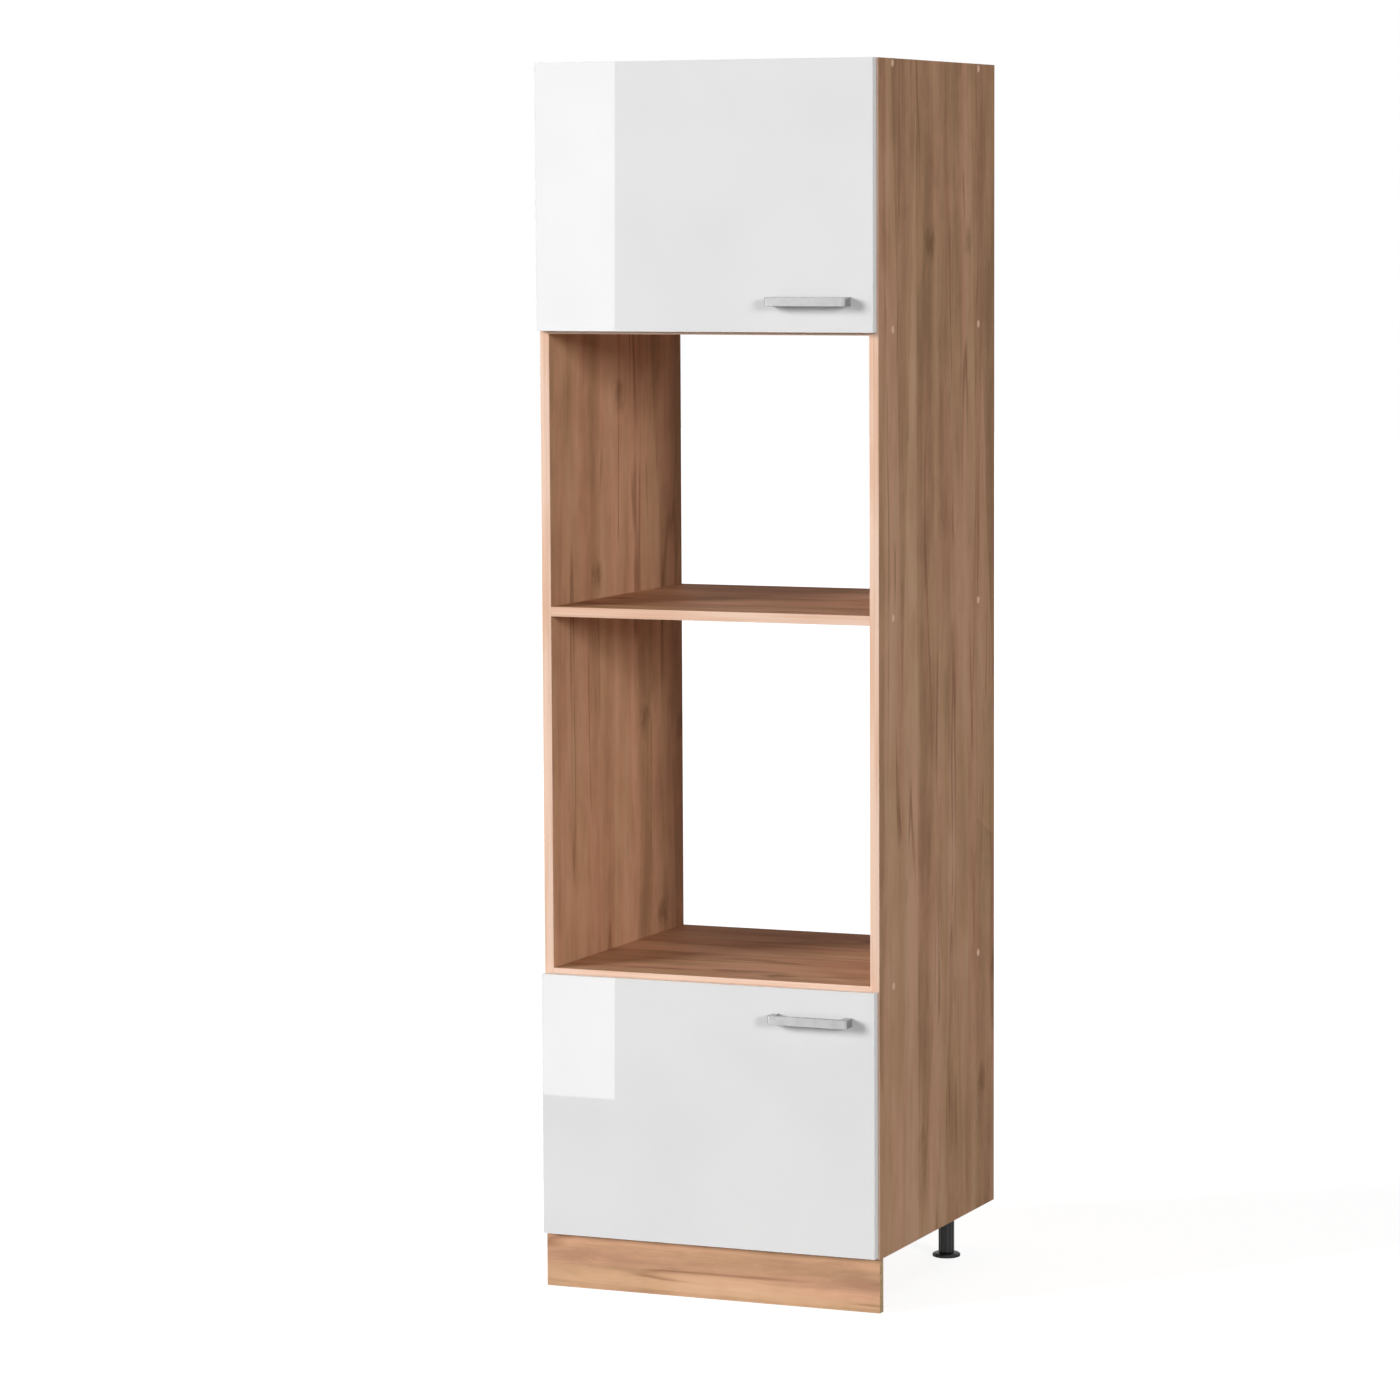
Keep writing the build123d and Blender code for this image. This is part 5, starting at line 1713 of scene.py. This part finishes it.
@dataclass
class Studio:
    """The photograph's camera, a pale floor, three soft lights and a strip box for the gloss doors.

    Lengths are in metres, apart from the sensor's width in millimetres, and angles are in degrees.
    """

    eye: Point = (3.252, -7.901, 1.814)
    yaw: float = 23.13
    pitch: float = -5.58
    roll: float = -0.29
    focal_px: float = 5080.5
    image_px: float = 1400.0
    sensor: float = 36.0
    clip_start: float = 0.1
    clip_end: float = 100.0
    front_light: float = 0.05
    back_light: float = 0.22
    lights: tuple[SoftLight, ...] = (
        SoftLight("left_soft_light", azimuth=-45.0, rise=15.0, watts=9000.0, size=11.0),
        SoftLight("right_soft_light", azimuth=50.0, rise=12.0, watts=4000.0, size=7.0),
        SoftLight("rear_soft_light", azimuth=180.0, rise=0.0, watts=6000.0, size=3.0),
    )
    light_colour: str = "#FFFFFF"
    floor_colour: str = "#BCBCBC"
    floor_half: float = 30.0
    near_glow: float = 0.86
    far_glow: float = 0.97
    glow_from: float = 1.5
    glow_to: float = 12.0
    strip_y: float = -1.9
    strip_low: tuple[float, float] = (-0.896, 0.012)
    strip_high: tuple[float, float] = (-0.873, 3.2)
    strip_left_x: float = -1.30
    strip_strength: float = 4.7

    def build(self) -> None:
        """Makes the camera, the world, the floor and the lights."""
        scene = bpy.context.scene
        scene.view_settings.view_transform = "Standard"
        self.camera()
        self.world()
        self.floor()
        for light in self.lights:
            light.build()
        self.strip_box()

    def camera(self) -> None:
        """Sets the camera where the photograph was taken from."""
        yaw, pitch, roll = (math.radians(a) for a in (self.yaw, self.pitch, self.roll))
        ahead = Vector((-math.sin(yaw) * math.cos(pitch), math.cos(yaw) * math.cos(pitch), math.sin(pitch)))
        level = ahead.cross(Vector((0.0, 0.0, 1.0))).normalized()
        over = level.cross(ahead)
        right = level * math.cos(roll) + over * math.sin(roll)
        up = over * math.cos(roll) - level * math.sin(roll)
        data = bpy.data.cameras.new("photo_camera")
        data.sensor_width = self.sensor
        data.lens = self.focal_px / self.image_px * self.sensor
        data.clip_start = self.clip_start
        data.clip_end = self.clip_end
        made = bpy.data.objects.new("photo_camera", data)
        turn = Matrix((right, up, -ahead)).transposed().to_4x4()
        made.matrix_world = Matrix.Translation(Vector(self.eye)) @ turn
        bpy.context.scene.collection.objects.link(made)
        bpy.context.scene.camera = made

    def seen_rays(self, tree: bpy.types.NodeTree) -> bpy.types.Node:
        """Adds the nodes that tell the rays that see the background from those that light the object.

        Args:
            tree: the node tree.

        Returns:
            A node that gives 1 for camera, glossy and transmission rays.
        """
        path = add_node(tree, "ShaderNodeLightPath")
        seen = path.outputs["Is Camera Ray"]
        for kind in ("Is Glossy Ray", "Is Transmission Ray"):
            seen = add_node(tree, "ShaderNodeMath", {0: seen, 1: path.outputs[kind]}, operation="MAXIMUM")
        return seen

    def world(self) -> None:
        """Makes a white background and a weak ambient light, which is stronger from behind."""
        world = bpy.data.worlds.new("studio_world")
        bpy.context.scene.world = world
        tree = empty_tree(world)
        sky = add_node(tree, "ShaderNodeTexCoord").outputs["Generated"]
        way = add_node(tree, "ShaderNodeSeparateXYZ", {0: sky})
        ambient = add_node(tree, "ShaderNodeMapRange", {0: way.outputs["Y"], 1: -1.0, 2: 1.0,
                                                        3: self.front_light, 4: self.back_light})
        strength = add_node(tree, "ShaderNodeMapRange", {0: self.seen_rays(tree), 3: ambient, 4: 1.0})
        light = add_node(tree, "ShaderNodeBackground", {"Color": linear(self.light_colour),
                                                        "Strength": strength})
        add_node(tree, "ShaderNodeOutputWorld", {"Surface": light})

    def floor(self) -> None:
        """Makes the pale floor, which shows white where no shadow falls on it, out to the horizon."""
        mesh = bmesh.new()
        bmesh.ops.create_grid(mesh, x_segments=1, y_segments=1, size=self.floor_half)
        data = bpy.data.meshes.new("studio_floor")
        mesh.to_mesh(data)
        mesh.free()
        made = link_mesh("studio_floor", data)
        material = bpy.data.materials.new("studio_floor_paint")
        tree = empty_tree(material)
        paint = add_node(tree, "ShaderNodeBsdfDiffuse", {"Color": linear(self.floor_colour)})
        place = add_node(tree, "ShaderNodeTexCoord").outputs["Object"]
        away = add_node(tree, "ShaderNodeVectorMath", {0: place}, operation="LENGTH").outputs["Value"]
        level = add_node(tree, "ShaderNodeMapRange", {0: away, 1: self.glow_from, 2: self.glow_to,
                                                      3: self.near_glow, 4: self.far_glow})
        strength = add_node(tree, "ShaderNodeMath", {0: self.seen_rays(tree), 1: level}, operation="MULTIPLY")
        glow = add_node(tree, "ShaderNodeEmission", {"Color": linear(self.light_colour),
                                                     "Strength": strength})
        both = add_node(tree, "ShaderNodeAddShader", {0: paint, 1: glow})
        add_node(tree, "ShaderNodeOutputMaterial", {"Surface": both})
        data.materials.append(material)

    def strip_box(self) -> None:
        """Makes the tall lit panel that only the gloss doors and the metal reflect."""
        outline = [(self.strip_left_x, self.strip_low[1]), self.strip_low, self.strip_high,
                   (self.strip_left_x, self.strip_high[1])]
        corners = [(x, self.strip_y, z) for x, z in outline]
        data = bpy.data.meshes.new("strip_box")
        data.from_pydata(corners, [], [(0, 1, 2, 3)])
        made = link_mesh("strip_box", data)
        material = bpy.data.materials.new("strip_box_glow")
        tree = empty_tree(material)
        glow = add_node(tree, "ShaderNodeEmission", {"Color": linear(self.light_colour),
                                                     "Strength": self.strip_strength})
        add_node(tree, "ShaderNodeOutputMaterial", {"Surface": glow})
        data.materials.append(material)
        made.visible_camera = False
        made.visible_diffuse = False
        made.visible_shadow = False
        made.visible_transmission = False


def main() -> None:
    """Builds the sub-assemblies in order, then the studio."""
    logging.basicConfig(level=logging.INFO, format="%(name)s: %(message)s")
    palette = Palette()
    screws = screw_tree()
    caps = cap_tree()
    Carcass(palette, caps).build()
    Legs(palette, screws).build()
    Plinth(palette, screws).build()
    WallTies(palette, screws).build()
    Hinges(palette, screws).build()
    for name in ("lower", "upper"):
        Door(name, palette, screws, caps).build()
    Studio().build()


if __name__ == "__main__":
    main()
